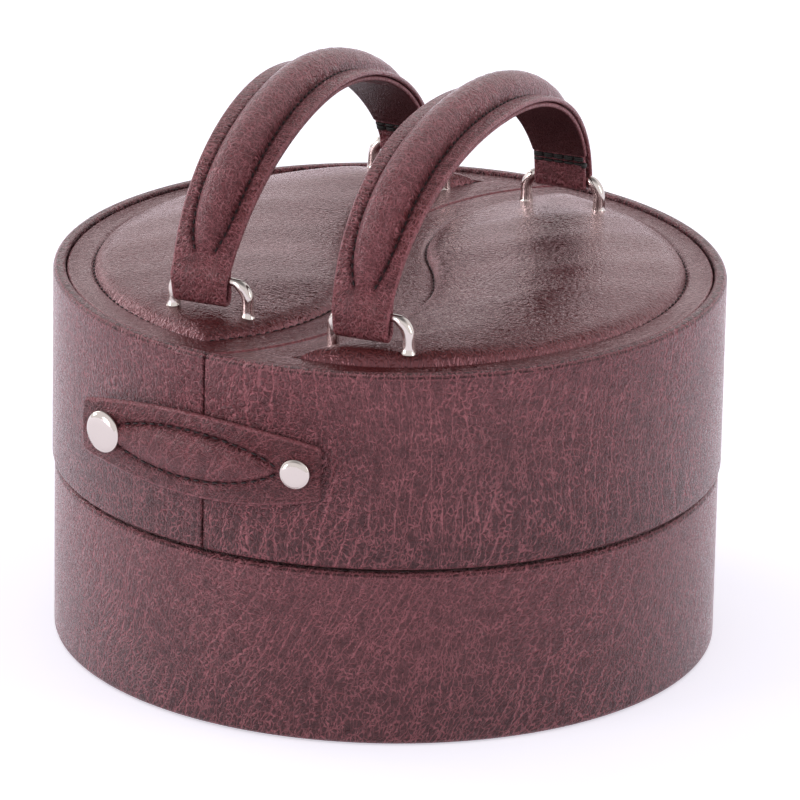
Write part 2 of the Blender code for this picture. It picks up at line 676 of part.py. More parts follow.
def top_panel(side):
    """Top board, foam and the leather cover that is stitched down round the cushion."""
    turn, axis = SIDES[side]
    pillow = panel_loop(PILLOW_RADIUS, SEAM + BORDER_S)
    outline = panel_loop(PANEL_RADIUS, SEAM)
    cover = bmesh.new()
    shell = []
    for drop in (0.0, LEATHER):
        inner_loop = cushion_sheet(cover, *pillow, lambda point: PANEL_TOP - drop + crown_height(point))
        outer_loop = loop_verts(cover, *outline, PANEL_TOP - drop)
        bridge(cover, inner_loop, outer_loop)
        shell.append(outer_loop)
    bridge(cover, *shell)
    cover = finish(side + "_padded_panel", cover, PANEL_LOOK, axis, turn)

    foam_loop = panel_loop(PILLOW_RADIUS - FOAM_MARGIN, SEAM + BORDER_S + FOAM_MARGIN)
    foam = bmesh.new()
    top_loop = cushion_sheet(foam, *foam_loop, lambda point: BOARD_TOP + crown_height(point))
    low_loop = loop_verts(foam, *foam_loop, BOARD_TOP + FIT)
    bridge(foam, top_loop, low_loop)
    foam.faces.new(low_loop)
    foam = finish(side + "_foam_pad", foam, FOAM_LOOK, axis, turn)

    board = bmesh.new()
    prism(board, half_outline(PANEL_RADIUS, SEAM), BOARD_BOTTOM, BOARD_TOP)
    board = finish(side + "_top_board", board, BOARD_LOOK, axis, turn)
    for drilled in (cover, foam, board):
        holes = bmesh.new()
        for place in loop_feet():
            disc(holes, TANG_RADIUS + FIT, BOARD_BOTTOM - PLATE, PANEL_TOP + 2 * CROWN, place, 8)
        cut(drilled, cutter(drilled.name + "_holes", holes, turn))


def handle_place(across, along):
    """Plan position of a point in the right handle's own frame."""
    return Vector((HANDLE_OFFSET + across * cos(HANDLE_TILT) - along * sin(HANDLE_TILT),
                   across * sin(HANDLE_TILT) + along * cos(HANDLE_TILT)))


def loop_feet():
    return [handle_place(across * LOOP_SPACING / 2, along * HANDLE_SPAN / 2)
            for along in (-1, 1) for across in (-1, 1)]


def seat_height(place, radius):
    """Lowest level at which a flat foot of this radius clears the cushion."""
    spots = [place] + arc(place, radius, 0, 2 * pi, 8)
    return PANEL_TOP + max(crown_height(spot) for spot in spots) + FIT


BAR_LEVEL = seat_height(handle_place(0, -HANDLE_SPAN / 2), COLLAR_RADIUS) + LOOP_HEIGHT
POCKET = BAR_RADIUS + FIT
FOLD_CENTRE = BAR_LEVEL - FOLD_DROP + STRAP_LEAF + POCKET
RETURN_TOP = FOLD_CENTRE + RETURN_LEAF
ARCH_FOOT = PANEL_TOP + ARCH_LIFT


def arch_reach(level):
    """Half the arch's inside span at a level, before the strap folds round the loop."""
    share = (level - ARCH_FOOT) / (HANDLE_RISE - STRAP_LEAF)
    return (HANDLE_SPAN / 2 + ARCH_SPREAD) * (1 - share ** HANDLE_POWER) ** (1 / HANDLE_POWER)


def handle_path():
    """Inner face of the strap in its own plane, from one folded end over the top to the other."""
    reach = HANDLE_SPAN / 2 + ARCH_SPREAD
    steps = 24
    arch = []
    for index in range(steps + 1):
        angle = pi * index / steps
        along = -reach * abs(cos(angle)) ** (2 / HANDLE_POWER) * (1 if cos(angle) > 0 else -1)
        up = (HANDLE_RISE - STRAP_LEAF) * abs(sin(angle)) ** (2 / HANDLE_POWER)
        if ARCH_FOOT + up > BAR_LEVEL + 2 * POCKET:
            arch.append((along, ARCH_FOOT + up))
    bar = -HANDLE_SPAN / 2
    fold = [(bar - POCKET * sin(angle), FOLD_CENTRE - POCKET * cos(angle))
            for angle in (radians(step) for step in range(-90, 91, 45))]
    returned = [(FIT - arch_reach(RETURN_TOP), RETURN_TOP), (bar + POCKET, BAR_LEVEL + POCKET)]
    front = returned + fold + [(bar - POCKET, BAR_LEVEL + POCKET / 2)]
    back = [(-along, up) for along, up in front[::-1]]
    return front + arch + back, len(front)


def path_frames(path):
    """For each point its place and its left-hand normal in the plane of the path."""
    frames = []
    for index, point in enumerate(path):
        before = Vector(path[max(index - 1, 0)])
        after = Vector(path[min(index + 1, len(path) - 1)])
        ahead = (after - before).normalized()
        frames.append((Vector(point), Vector((-ahead.y, ahead.x))))
    return frames


def handle(side):
    turn, axis = SIDES[side]
    place = Matrix.Rotation(turn, 3, "Z") @ Vector((HANDLE_OFFSET, 0, 0))
    heading = turn + HANDLE_TILT
    path, fold_count = handle_path()
    frames = path_frames(path)
    arch_count = len(path) - 2 * fold_count
    body = bmesh.new()
    sections = []
    for index, (point, normal) in enumerate(frames):
        share = min(max((index - fold_count) / (arch_count - 1), 0.0), 1.0)
        swell = sin(pi * share)
        half = (STRAP_END_WIDTH + (STRAP_MID_WIDTH - STRAP_END_WIDTH) * swell) / 2
        rise = max(0.0, min((point.y - ARCH_FOOT - CORE_START) / CORE_TAPER, 1.0)) if 0 < share < 1 else 0.0
        core = (CORE_END_WIDTH + (CORE_WIDTH - CORE_END_WIDTH) * swell) / 2
        crown = CORE_HEIGHT * sqrt(rise)
        ring = [(-half, 0), (half, 0), (half, STRAP_LEAF), (core, STRAP_LEAF)]
        ring += [(core * across, STRAP_LEAF + crown * up)
                 for across, up in ((0.88, 0.45), (0.52, 0.87), (0, 1), (-0.52, 0.87), (-0.88, 0.45))]
        ring += [(-core, STRAP_LEAF), (-half, STRAP_LEAF)]
        sections.append([(across, *(point + normal * out)) for across, out in ring])
    loft(body, sections)
    finish(side + "_handle", body, LEATHER_LOOK, axis, heading, place)

    lining = bmesh.new()
    sections = []
    for index in range(fold_count, len(path) - fold_count):
        point, normal = frames[index]
        if point.y < RETURN_TOP + 2 * FIT:
            continue
        share = (index - fold_count) / (arch_count - 1)
        swell = sin(pi * share)
        half = (STRAP_END_WIDTH + (STRAP_MID_WIDTH - STRAP_END_WIDTH) * swell) / 2 - LEATHER
        ring = [(-half, -FIT), (half, -FIT), (half, -FIT - HANDLE_LINING), (-half, -FIT - HANDLE_LINING)]
        sections.append([(across, *(point + normal * out)) for across, out in ring])
    loft(lining, sections)
    finish(side + "_handle_lining", lining, DARK_LEATHER, axis, heading, place)

    for name, along in (("front", -1), ("rear", 1)):
        label = name if side == "right" else ("rear" if name == "front" else "front")
        loop = bmesh.new()
        metal_loop(loop, along)
        finish(side + "_" + label + "_loop", loop, NICKEL_LOOK, axis, heading, place)
        loop_plate(side + "_" + label + "_loop_plate", along, axis, heading, place)


def loop_plate(name, along, axis, heading, place):
    """Metal bar under the top board that both tangs of a loop pass through."""
    middle = along * HANDLE_SPAN / 2
    half = LOOP_SPACING / 2
    outline = arc((half, middle), PLATE_HALF, -pi / 2, pi / 2, 6)
    outline += arc((-half, middle), PLATE_HALF, pi / 2, 3 * pi / 2, 6)
    high = BOARD_BOTTOM - FIT
    body = bmesh.new()
    prism(body, outline, high - PLATE, high)
    plate = finish(name, body, NICKEL_LOOK, axis, heading, place)
    holes = bmesh.new()
    for across in (-half, half):
        disc(holes, TANG_RADIUS + FIT, high - 2 * PLATE, high + PLATE, (across, middle), 8)
    cut(plate, cutter(name + "_holes", holes, heading, place))


def metal_loop(mesh_data, along):
    """A bow on two legs that flare to collared feet, with a thin tang below each."""
    half = LOOP_SPACING / 2
    stations = []
    for sign in (-1, 1):
        foot = seat_height(handle_place(sign * half, along * HANDLE_SPAN / 2), COLLAR_RADIUS)
        bend = BAR_LEVEL - LOOP_BEND
        tang_end = BOARD_BOTTOM - PLATE - 4 * FIT
        collar = foot + COLLAR_HEIGHT
        taper = ((collar + bend) / 2, (FOOT_RADIUS + BAR_RADIUS) / 2)
        levels = [(tang_end, TANG_RADIUS), (foot, TANG_RADIUS), (foot, COLLAR_RADIUS),
                  (collar, COLLAR_RADIUS), (collar, FOOT_RADIUS), taper]
        leg = [(sign * half, level, radius) for level, radius in levels]
        for step in range(0, 91, 30):
            bent = polar(LOOP_BEND, radians(step))
            leg.append((sign * (half - LOOP_BEND + bent.x), bend + bent.y, BAR_RADIUS))
        stations += leg if sign < 0 else leg[::-1]
    centres = [Vector((across, 0, up)) for across, up, radius in stations]
    sections = []
    for index, (across, up, radius) in enumerate(stations):
        before = centres[max(index - 1, 0)]
        after = centres[min(index + 1, len(centres) - 1)]
        ahead = (after - before).normalized()
        if abs(across) > half - LOOP_BEND * 0.01:
            ahead = Vector((0, 0, 1 if across < 0 else -1))
        side = Vector((0, 1, 0))
        out = side.cross(ahead)
        sections.append([centres[index] + Vector((0, along * HANDLE_SPAN / 2, 0))
                         + radius * (side * cos(turn) + out * sin(turn))
                         for turn in (2 * pi * step / 8 for step in range(8))])
    loft(mesh_data, sections)


def strap_back(angle_deg):
    """The strap's inner face: on the right half's wall, then clear of the left half's swing."""
    angle = radians(angle_deg)
    if angle_deg >= 0:
        return STRAP_BACK
    lean = HINGE_Y * cos(angle)
    return sqrt(lean ** 2 + SWING_RADIUS ** 2 - HINGE_Y ** 2) - lean


def strap_section(angle_deg, half_width, pad_half, pad):
    """Cross-section of the closure strap at an angle from the front seam."""
    ahead = front_point(angle_deg + 0.5, strap_back(angle_deg + 0.5))
    behind = front_point(angle_deg - 0.5, strap_back(angle_deg - 0.5))
    along = (ahead - behind).normalized()
    out = Vector((along.y, -along.x, 0))
    middle = front_point(angle_deg, strap_back(angle_deg), CLOSURE_HEIGHT)
    ring = [(-half_width, 0), (half_width, 0), (half_width, CLOSURE_STRAP), (pad_half, CLOSURE_STRAP)]
    ring += [(pad_half * up, CLOSURE_STRAP + pad * share)
             for up, share in ((0.8, 0.55), (0.4, 0.92), (-0.4, 0.92), (-0.8, 0.55))]
    ring += [(-pad_half, CLOSURE_STRAP), (-half_width, CLOSURE_STRAP)]
    return [middle + out * depth + Vector((0, 0, up)) for up, depth in ring]


def strap_width(angle_deg):
    """Half the strap's height, fullest midway between the two fasteners."""
    middle = (STUD_DEG + CLOSURE_RIVET_DEG) / 2
    reach = (CLOSURE_RIVET_DEG - STUD_DEG) / 2
    share = min(abs(angle_deg - middle) / reach, 1.0)
    swell = (1 - share ** 2) ** 2 * (1 + 0.4 * share ** 2)
    return (CLOSURE_END_WIDTH + (CLOSURE_MID_WIDTH - CLOSURE_END_WIDTH) * swell) / 2


def closure():
    joint_gap = degrees(FIT / (STRAP_BACK + CLOSURE_STRAP))
    flap_end = CLOSURE_JOINT_DEG - joint_gap
    corner = degrees(RIM_ROUND / STRAP_BACK)
    stops = [CLOSURE_LEFT_DEG, CLOSURE_LEFT_DEG + corner / 2, CLOSURE_LEFT_DEG + corner]
    steps = 18
    start = CLOSURE_LEFT_DEG + 2 * corner
    stops += [start + (flap_end - start) * index / steps for index in range(steps + 1)]
    pad_middle = (CLOSURE_PAD_LEFT_DEG + flap_end) / 2
    pad_reach = (flap_end - CLOSURE_PAD_LEFT_DEG) / 2
    flap = bmesh.new()
    sections = []
    for stop in stops:
        share = min(abs(stop - pad_middle) / pad_reach, 1.0)
        pad_half = max(CLOSURE_PAD_WIDTH / 2 * sqrt(1 - share ** 1.6), 2 * FIT)
        pad = CLOSURE_PAD * (1 - share ** 3)
        half = strap_width(stop)
        inset = max(0.0, 1 - (stop - CLOSURE_LEFT_DEG) / corner)
        half -= RIM_ROUND * (1 - sqrt(max(0.0, 1 - inset ** 2)))
        sections.append(strap_section(stop, half, pad_half, pad))
    loft(flap, sections)
    flap = finish("closure_strap", flap, LEATHER_LOOK, FLAP_AXIS)

    fixed = bmesh.new()
    run = CLOSURE_RIGHT_DEG - corner - CLOSURE_JOINT_DEG
    stops = [CLOSURE_JOINT_DEG + run * index / 4 for index in range(5)]
    stops += [CLOSURE_RIGHT_DEG - corner / 2, CLOSURE_RIGHT_DEG]
    sections = []
    for stop in stops:
        inset = max(0.0, 1 - (CLOSURE_RIGHT_DEG - stop) / corner)
        half = strap_width(stop) - RIM_ROUND * (1 - sqrt(max(0.0, 1 - inset ** 2)))
        sections.append(strap_section(stop, half, 2 * FIT, 0.0))
    loft(fixed, sections)
    fixed = finish("strap_fixed_end", fixed, LEATHER_LOOK, RIGHT_AXIS)

    out = front_point(CLOSURE_RIVET_DEG, 1.0)
    hole = bmesh.new()
    base_point = front_point(CLOSURE_RIVET_DEG, LID_RADIUS - RIM_WIDTH, CLOSURE_HEIGHT)
    cylinder(hole, base_point, out, [(0, CLOSURE_SHANK + FIT), (4 * RIM_WIDTH, CLOSURE_SHANK + FIT)], 10)
    cut(fixed, cutter("strap_rivet_hole", hole))
    inner = WALL_INNER_LID
    face = STRAP_BACK + CLOSURE_STRAP + FIT - inner
    rivet = bmesh.new()
    start_point = front_point(CLOSURE_RIVET_DEG, inner, CLOSURE_HEIGHT)
    shape = domed(face, CLOSURE_SHANK, CLOSURE_RIVET_RADIUS, CLOSURE_RIVET_DOME)
    cylinder(rivet, start_point, out, shape, 16)
    finish("strap_rivet", rivet, NICKEL_LOOK, RIGHT_AXIS)

    snap(flap)


def domed(face, shank, radius, dome):
    """Turned shape of a shank with a domed cap, as (distance, radius) pairs."""
    cap = ((0, 0.96), (0.28, 1), (0.70, 0.80), (0.94, 0.42), (1, 0.12))
    return [(0, shank), (face, shank)] + [(face + dome * up, radius * across) for up, across in cap]


def snap(flap):
    """Press stud: the stud stays within the half's swing circle and the socket outside it."""
    seat = front_point(STUD_DEG, strap_back(STUD_DEG), CLOSURE_HEIGHT)
    hinge = Vector((0, HINGE_Y, CLOSURE_HEIGHT))
    out = (seat - hinge).normalized()
    hole = bmesh.new()
    bore = SOCKET_RADIUS + FIT
    cylinder(hole, seat - out * RIM_WIDTH, out, [(0, bore), (3 * RIM_WIDTH, bore)], 14)
    cut(flap, cutter("socket_hole", hole))
    socket = bmesh.new()
    depth = CLOSURE_STRAP
    mouth = STUD_HEAD + FIT
    sections = []
    turn = out.to_track_quat("Z", "Y").to_matrix()
    for point in arc((0, 0), 1.0, 0, 2 * pi, 14)[:-1]:
        sections.append([seat + turn @ Vector((point.x * radius, point.y * radius, height))
                         for radius, height in slit_profile(mouth, SOCKET_RADIUS, 0, depth)])
    loft(socket, sections, closed=True)
    finish("snap_socket", socket, NICKEL_LOOK, FLAP_AXIS)
    cap = bmesh.new()
    reach = CLOSURE_STRAP / 2 + FIT
    cylinder(cap, seat + out * (depth - CLOSURE_STRAP / 2), out,
             domed(reach, mouth - FIT, SNAP_CAP_RADIUS, SNAP_CAP_DOME), 20)
    finish("snap_cap", cap, NICKEL_LOOK, FLAP_AXIS)

    ray = front_point(STUD_DEG, 1.0)
    inner = WALL_INNER_LID
    flange = STRAP_BACK - inner
    lean = STUD_HEAD * tan(asin(min(1.0, hypot(out.x - ray.x, out.y - ray.y))))
    tip = strap_back(STUD_DEG) - FIT - lean - inner
    collar = flange + LEAF / 2
    middle = (collar + tip) / 2
    stud = bmesh.new()
    shape = [(0, STUD_NECK), (flange, STUD_NECK), (flange, STUD_FLANGE), (collar, STUD_FLANGE * 0.9)]
    shape += [(collar, STUD_NECK), (middle, STUD_NECK), ((middle + tip) / 2, STUD_HEAD)]
    shape.append((tip, STUD_HEAD * 0.8))
    cylinder(stud, front_point(STUD_DEG, inner, CLOSURE_HEIGHT), ray, shape, 14)
    finish("snap_stud", stud, NICKEL_LOOK, LEFT_AXIS)


def left_fittings(inside, deck):
    """A shelf with two partitions under it inside the left half, glued up as one unit."""
    turn, axis = SIDES["left"]
    under = deck + SHELF_RISE
    shelf = bmesh.new()
    prism(shelf, half_outline(inside, SHELF_SETBACK), under, under + SHELF)
    shelf = finish("left_shelf_unit", shelf, SUEDE_LOOK, axis, turn)
    walls = bmesh.new()
    edge = s_edge(inside, SHELF_SETBACK)
    for sign in (-1, 1):
        near_y = sign * PARTITION_OFFSET
        far_y = near_y + sign * SHELF
        reach = sqrt(inside ** 2 - far_y ** 2) * cos(radians(STEP_DEG / 2)) - FIT
        front_x = max(point.x for point in edge if abs(point.y - near_y) < S_HALF / 4) + SHELF
        corners = [(front_x, near_y), (reach, near_y), (reach, far_y), (front_x, far_y)]
        prism(walls, [Vector(corner) for corner in corners], deck, under + SHELF / 2)
    cut(shelf, cutter("left_partitions", walls, turn), "UNION")


def right_fittings(inside, deck):
    """A rail with chain hooks under the top board, and a pocket below that catches the chains."""
    turn, axis = SIDES["right"]
    span = radians(RAIL_SPAN_DEG)
    outer = inside / cos(radians(STEP_DEG / 2))
    rail_top = BOARD_BOTTOM - FIT
    rail = bmesh.new()
    ring_wall(rail, slit_profile(outer - RAIL_DEPTH, outer, rail_top - RAIL_HEIGHT, rail_top), -span, span)
    finish("right_hook_rail", rail, BOARD_LOOK, axis)
    strip = bmesh.new()
    strip_outer = outer - RAIL_DEPTH - FIT
    band = slit_profile(strip_outer - LEAF, strip_outer, rail_top - RAIL_HEIGHT, rail_top - LEAF)
    ring_wall(strip, band, -span, span)
    strip = finish("right_chain_hooks", strip, BRASS_LOOK, axis)
    hooks = bmesh.new()
    for index in range(HOOKS):
        angle = -span * 0.88 + 2 * span * 0.88 * index / (HOOKS - 1)
        radius = (strip_outer - LEAF) * cos(radians(STEP_DEG / 2)) - HOOK_WIRE * 0.6
        out = Vector((*polar(1.0, angle), 0))
        top = rail_top - RAIL_HEIGHT + HOOK_BEND
        start = out * radius
        route = [(0, top), (0, rail_top - RAIL_HEIGHT - HOOK_DROP)]
        centre = rail_top - RAIL_HEIGHT - HOOK_DROP
        route += [(-HOOK_BEND + HOOK_BEND * cos(turn_by), centre - HOOK_BEND * sin(turn_by))
                  for turn_by in (radians(step) for step in range(45, 181, 45))]
        route.append((-2 * HOOK_BEND, centre + HOOK_BEND))
        sections = []
        for at, (inward, level) in enumerate(route):
            before = Vector(route[max(at - 1, 0)])
            after = Vector(route[min(at + 1, len(route) - 1)])
            ahead = (after - before).normalized()
            across = Vector((-out.y, out.x, 0))
            normal = out * -ahead.y + Vector((0, 0, ahead.x))
            middle = start + out * inward + Vector((0, 0, level))
            sections.append([middle + HOOK_WIRE * (across * cos(step) + normal * sin(step))
                             for step in (2 * pi * corner / 5 for corner in range(5))])
        loft(hooks, sections)
    cut(strip, cutter("hook_wires", hooks), "UNION")

    pocket = bmesh.new()
    front = outer - POCKET_DEPTH
    steps = int(2 * RAIL_SPAN_DEG / STEP_DEG)
    ends = POCKET_WALL / outer
    outline = [polar(outer, -span)] + arc((0, 0), front, -span, span, steps) + [polar(outer, span)]
    outline += [polar(outer, span - ends)]
    outline += arc((0, 0), front + POCKET_WALL, span - ends, ends - span, steps)
    outline += [polar(outer, ends - span)]
    prism(pocket, outline, deck, deck + POCKET_HEIGHT)
    finish("right_chain_pocket", pocket, SUEDE_LOOK, axis)


base_drum()
base_leaf()
hinge_pin()
for half_side, half_sign, half_first in (("left", -1, 0), ("right", 1, 1)):
    clear_radius, clear_deck = half_shell(half_side, half_sign)
    top_panel(half_side)
    handle(half_side)
    upper_leaf(half_side, half_sign, half_first)
left_fittings(clear_radius, clear_deck)
right_fittings(clear_radius, clear_deck)
closure()
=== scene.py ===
# Looks for the round jewelry box: burgundy hide over a drum whose upper part splits along an S curve, with
# padded tops, carrying handles in nickel loops, a strap with a press stud, and suede inside.
# Everything is in metres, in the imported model's own frame: +Z up, the front seam facing -Y.

from math import asin, atan2, cos, pi, radians, sin, sqrt

import bmesh
import bpy
import numpy as np
from mathutils import Matrix, Vector


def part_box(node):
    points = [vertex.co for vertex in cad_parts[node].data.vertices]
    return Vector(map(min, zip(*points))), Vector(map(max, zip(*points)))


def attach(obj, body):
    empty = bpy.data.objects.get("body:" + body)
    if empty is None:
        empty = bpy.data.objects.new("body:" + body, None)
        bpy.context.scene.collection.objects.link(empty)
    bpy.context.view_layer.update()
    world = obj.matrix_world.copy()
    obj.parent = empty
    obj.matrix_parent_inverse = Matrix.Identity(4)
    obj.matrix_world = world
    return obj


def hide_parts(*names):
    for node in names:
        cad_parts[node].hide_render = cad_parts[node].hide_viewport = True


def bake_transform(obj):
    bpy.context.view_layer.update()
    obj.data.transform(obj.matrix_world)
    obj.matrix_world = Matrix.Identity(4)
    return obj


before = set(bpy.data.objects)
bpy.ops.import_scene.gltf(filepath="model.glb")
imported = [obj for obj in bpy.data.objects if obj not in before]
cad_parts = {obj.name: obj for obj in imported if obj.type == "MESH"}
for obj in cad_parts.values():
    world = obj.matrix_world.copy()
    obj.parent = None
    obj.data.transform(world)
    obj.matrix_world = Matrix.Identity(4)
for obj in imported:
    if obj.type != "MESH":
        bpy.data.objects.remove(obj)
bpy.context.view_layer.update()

# View: a long lens from the front, to the right of the closure and above the lid, as in the photograph.
# The camera looks past the middle of the underside, so that the box sits where it does in the picture.
VIEW_AZIMUTH = radians(31.95)
VIEW_ELEVATION = radians(21.25)
VIEW_DISTANCE = 2.5598
VIEW_PAN = radians(0.0929)
VIEW_TILT = radians(1.6825)
VIEW_ROLL = radians(1.1208)
LENS = 340.56
SENSOR_WIDTH = 36
FAR_CLIP = 20

away = Vector((sin(VIEW_AZIMUTH) * cos(VIEW_ELEVATION), -cos(VIEW_AZIMUTH) * cos(VIEW_ELEVATION),
               sin(VIEW_ELEVATION)))
sideways = Vector((cos(VIEW_AZIMUTH), sin(VIEW_AZIMUTH), 0))
upward = sideways.cross(-away)
ahead = (-away * cos(VIEW_PAN) * cos(VIEW_TILT) + sideways * sin(VIEW_PAN) * cos(VIEW_TILT)
         + upward * sin(VIEW_TILT))
level_right = ahead.cross(Vector((0, 0, 1))).normalized()
level_up = level_right.cross(ahead)
camera_right = level_right * cos(VIEW_ROLL) + level_up * sin(VIEW_ROLL)
camera_up = level_up * cos(VIEW_ROLL) - level_right * sin(VIEW_ROLL)
camera_data = bpy.data.cameras.new("photograph_view")
camera_data.lens = LENS
camera_data.sensor_width = SENSOR_WIDTH
camera_data.clip_end = FAR_CLIP
camera = bpy.data.objects.new("photograph_view", camera_data)
turned = Matrix((camera_right, camera_up, -ahead)).transposed().to_4x4()
camera.matrix_world = Matrix.Translation(away * VIEW_DISTANCE) @ turned
bpy.context.scene.collection.objects.link(camera)
bpy.context.scene.camera = camera
bpy.context.scene.view_settings.view_transform = "Standard"

# Studio: a room that the camera and the gloss see at full white, duller overhead. One soft lamp stands at the
# front left and one at each side, and a white floor keeps the box's faint lavender shadow.
ROOM_LIGHT = 0.60
CEILING_FROM, CEILING_TO, CEILING_SEEN = 0.50, 0.95, 0.22
KEY_WATTS = 12.0
SIDE_WATTS = 10.0
KEY_SIZE, SIDE_SIZE = 0.8, 1.2
BOX_MIDDLE = (0, 0, 0.08)
FLOOR_HALF = 4.0
FLOOR_WHITE = (0.86, 0.85, 0.90)
FLOOR_GLOW = (0.52, 0.51, 0.56)


def add_node(tree, kind, inputs=None, **settings):
    """Put a node in a tree: an input given as a socket is linked, any other value is set on the socket."""
    made = tree.nodes.new(kind)
    for key, value in settings.items():
        setattr(made, key, value)
    for key, value in (inputs or {}).items():
        if isinstance(value, bpy.types.NodeSocket):
            tree.links.new(value, made.inputs[key])
        else:
            made.inputs[key].default_value = value
    return made


def combine(tree, operation, first, second):
    """One step of arithmetic on two sockets or numbers."""
    return add_node(tree, "ShaderNodeMath", {0: first, 1: second}, operation=operation).outputs[0]


def ranged(tree, value, low=0.0, high=1.0, start=0.0, end=1.0, easing="LINEAR"):
    """The value laid over start to end as it runs from low to high, and level beyond them."""
    made = add_node(tree, "ShaderNodeMapRange", {"Value": value, "From Min": low, "From Max": high,
                                                 "To Min": start, "To Max": end}, interpolation_type=easing)
    return made.outputs["Result"]


def seen_directly(tree):
    """1 where the camera, the gloss or clear glass sees a surface, and 0 where its light falls on others."""
    path = add_node(tree, "ShaderNodeLightPath")
    gloss = combine(tree, "MAXIMUM", path.outputs["Is Camera Ray"], path.outputs["Is Glossy Ray"])
    return combine(tree, "MAXIMUM", gloss, path.outputs["Is Transmission Ray"])


room = bpy.data.worlds.new("white_room")
room.use_nodes = True
bpy.context.scene.world = room
room_tree = room.node_tree
room_way = add_node(room_tree, "ShaderNodeTexCoord")
room_height = add_node(room_tree, "ShaderNodeSeparateXYZ", {0: room_way.outputs["Generated"]})
ceiling = ranged(room_tree, room_height.outputs["Z"], CEILING_FROM, CEILING_TO, 1.0, CEILING_SEEN, "SMOOTHSTEP")
room_strength = ranged(room_tree, seen_directly(room_tree), start=ROOM_LIGHT, end=ceiling)
room_background = room_tree.nodes["Background"]
room_background.inputs["Color"].default_value = (1, 1, 1, 1)
room_tree.links.new(room_strength, room_background.inputs["Strength"])


def soft_lamp(name, place, size, watts):
    """A square lamp aimed at the middle of the box."""
    data = bpy.data.lights.new(name, "AREA")
    data.size = size
    data.energy = watts
    lamp = bpy.data.objects.new(name, data)
    lamp.location = place
    lamp.rotation_euler = (Vector(BOX_MIDDLE) - Vector(place)).to_track_quat("-Z", "Y").to_euler()
    bpy.context.scene.collection.objects.link(lamp)


soft_lamp("key_softbox", (-1.2, -2.0, 0.40), KEY_SIZE, KEY_WATTS)
soft_lamp("right_softbox", (2.3, 0.5, 0.9), SIDE_SIZE, SIDE_WATTS)
soft_lamp("left_softbox", (-2.1, 0.0, 0.9), SIDE_SIZE, SIDE_WATTS)

floor_mesh = bpy.data.meshes.new("white_floor")
floor_corners = [(x * FLOOR_HALF, y * FLOOR_HALF, 0) for x, y in ((-1, -1), (1, -1), (1, 1), (-1, 1))]
floor_mesh.from_pydata(floor_corners, [], [(0, 1, 2, 3)])
white_floor = bpy.data.objects.new("white_floor", floor_mesh)
bpy.context.scene.collection.objects.link(white_floor)
floor_look = bpy.data.materials.new("white_floor")
floor_look.use_nodes = True
floor_tree = floor_look.node_tree
floor_glow = add_node(floor_tree, "ShaderNodeEmission",
                      {"Color": (*FLOOR_GLOW, 1), "Strength": seen_directly(floor_tree)})
floor_paint = add_node(floor_tree, "ShaderNodeBsdfDiffuse", {"Color": (*FLOOR_WHITE, 1)})
floor_sum = add_node(floor_tree, "ShaderNodeAddShader", {0: floor_glow.outputs[0], 1: floor_paint.outputs[0]})
floor_tree.links.new(floor_sum.outputs[0], floor_tree.nodes["Material Output"].inputs["Surface"])
floor_mesh.materials.append(floor_look)

# Boards: the walls, floors and tops are cut from grey-brown fibreboard and glued up before they are covered.
# Only their cut edges show, along the S when the case is open.
FIBRE_DARK, FIBRE_PALE = (0.150, 0.098, 0.062), (0.330, 0.245, 0.165)


def group_sockets(group, inputs, outputs):
    """Give a node group its named sockets and return its input and output nodes."""
    for name, kind, value in inputs:
        made = group.interface.new_socket(name, in_out="INPUT", socket_type="NodeSocket" + kind)
        if value is not None:
            made.default_value = value
    for name, kind in outputs:
        group.interface.new_socket(name, in_out="OUTPUT", socket_type="NodeSocket" + kind)
    return group.nodes.new("NodeGroupInput"), group.nodes.new("NodeGroupOutput")


def vector_step(tree, operation, *values):
    """One step of arithmetic on places."""
    return add_node(tree, "ShaderNodeVectorMath", dict(enumerate(values)), operation=operation).outputs[0]


def noise(tree, place, scale, detail, across="3D", distortion=0.0):
    """Soft noise of that scale per metre: its Fac output is a value and its Color output three of them."""
    return add_node(tree, "ShaderNodeTexNoise", {"Vector": place, "Scale": scale, "Detail": detail,
                                                 "Distortion": distortion}, noise_dimensions=across).outputs


def raised_by(tree, shader, height, strength, distance):
    """Bend the shader's normal as a surface of that height would, and return the normal."""
    relief = add_node(tree, "ShaderNodeBump", {"Strength": strength, "Distance": distance, "Height": height})
    tree.links.new(relief.outputs["Normal"], shader.inputs["Normal"])
    return relief.outputs["Normal"]


def mixed(tree, share, first, second, blend="MIX"):
    """The first colour where share is 0 and the second, or its blend with the first, where share is 1."""
    made = add_node(tree, "ShaderNodeMix", {0: share, 6: first, 7: second}, data_type="RGBA", blend_type=blend)
    return made.outputs[2]


def plain_look(name, tone, roughness, metallic=0.0):
    """A material whose surface varies only through what is linked to it afterwards."""
    made = bpy.data.materials.new(name)
    made.use_nodes = True
    shader = made.node_tree.nodes["Principled BSDF"]
    shader.inputs["Base Color"].default_value = (*tone, 1)
    shader.inputs["Roughness"].default_value = roughness
    shader.inputs["Metallic"].default_value = metallic
    return made, made.node_tree, shader


def fibreboard():
    """Pressed fibres: two noises, each stretched along its own way, lay pale specks over a dark ground."""
    made, tree, shader = plain_look("fibreboard", FIBRE_DARK, 0.85)
    place = add_node(tree, "ShaderNodeTexCoord").outputs["Object"]
    specks = []
    for stretch in ((420, 2600, 2600), (2600, 420, 2600)):
        specks.append(noise(tree, vector_step(tree, "MULTIPLY", place, stretch), 1.0, 3.0)["Fac"])
    fibres = combine(tree, "MAXIMUM", *specks)
    tree.links.new(mixed(tree, ranged(tree, fibres, 0.42, 0.75), (*FIBRE_DARK, 1), (*FIBRE_PALE, 1)),
                   shader.inputs["Base Color"])
    raised_by(tree, shader, fibres, 0.5, 0.0002)
    return made


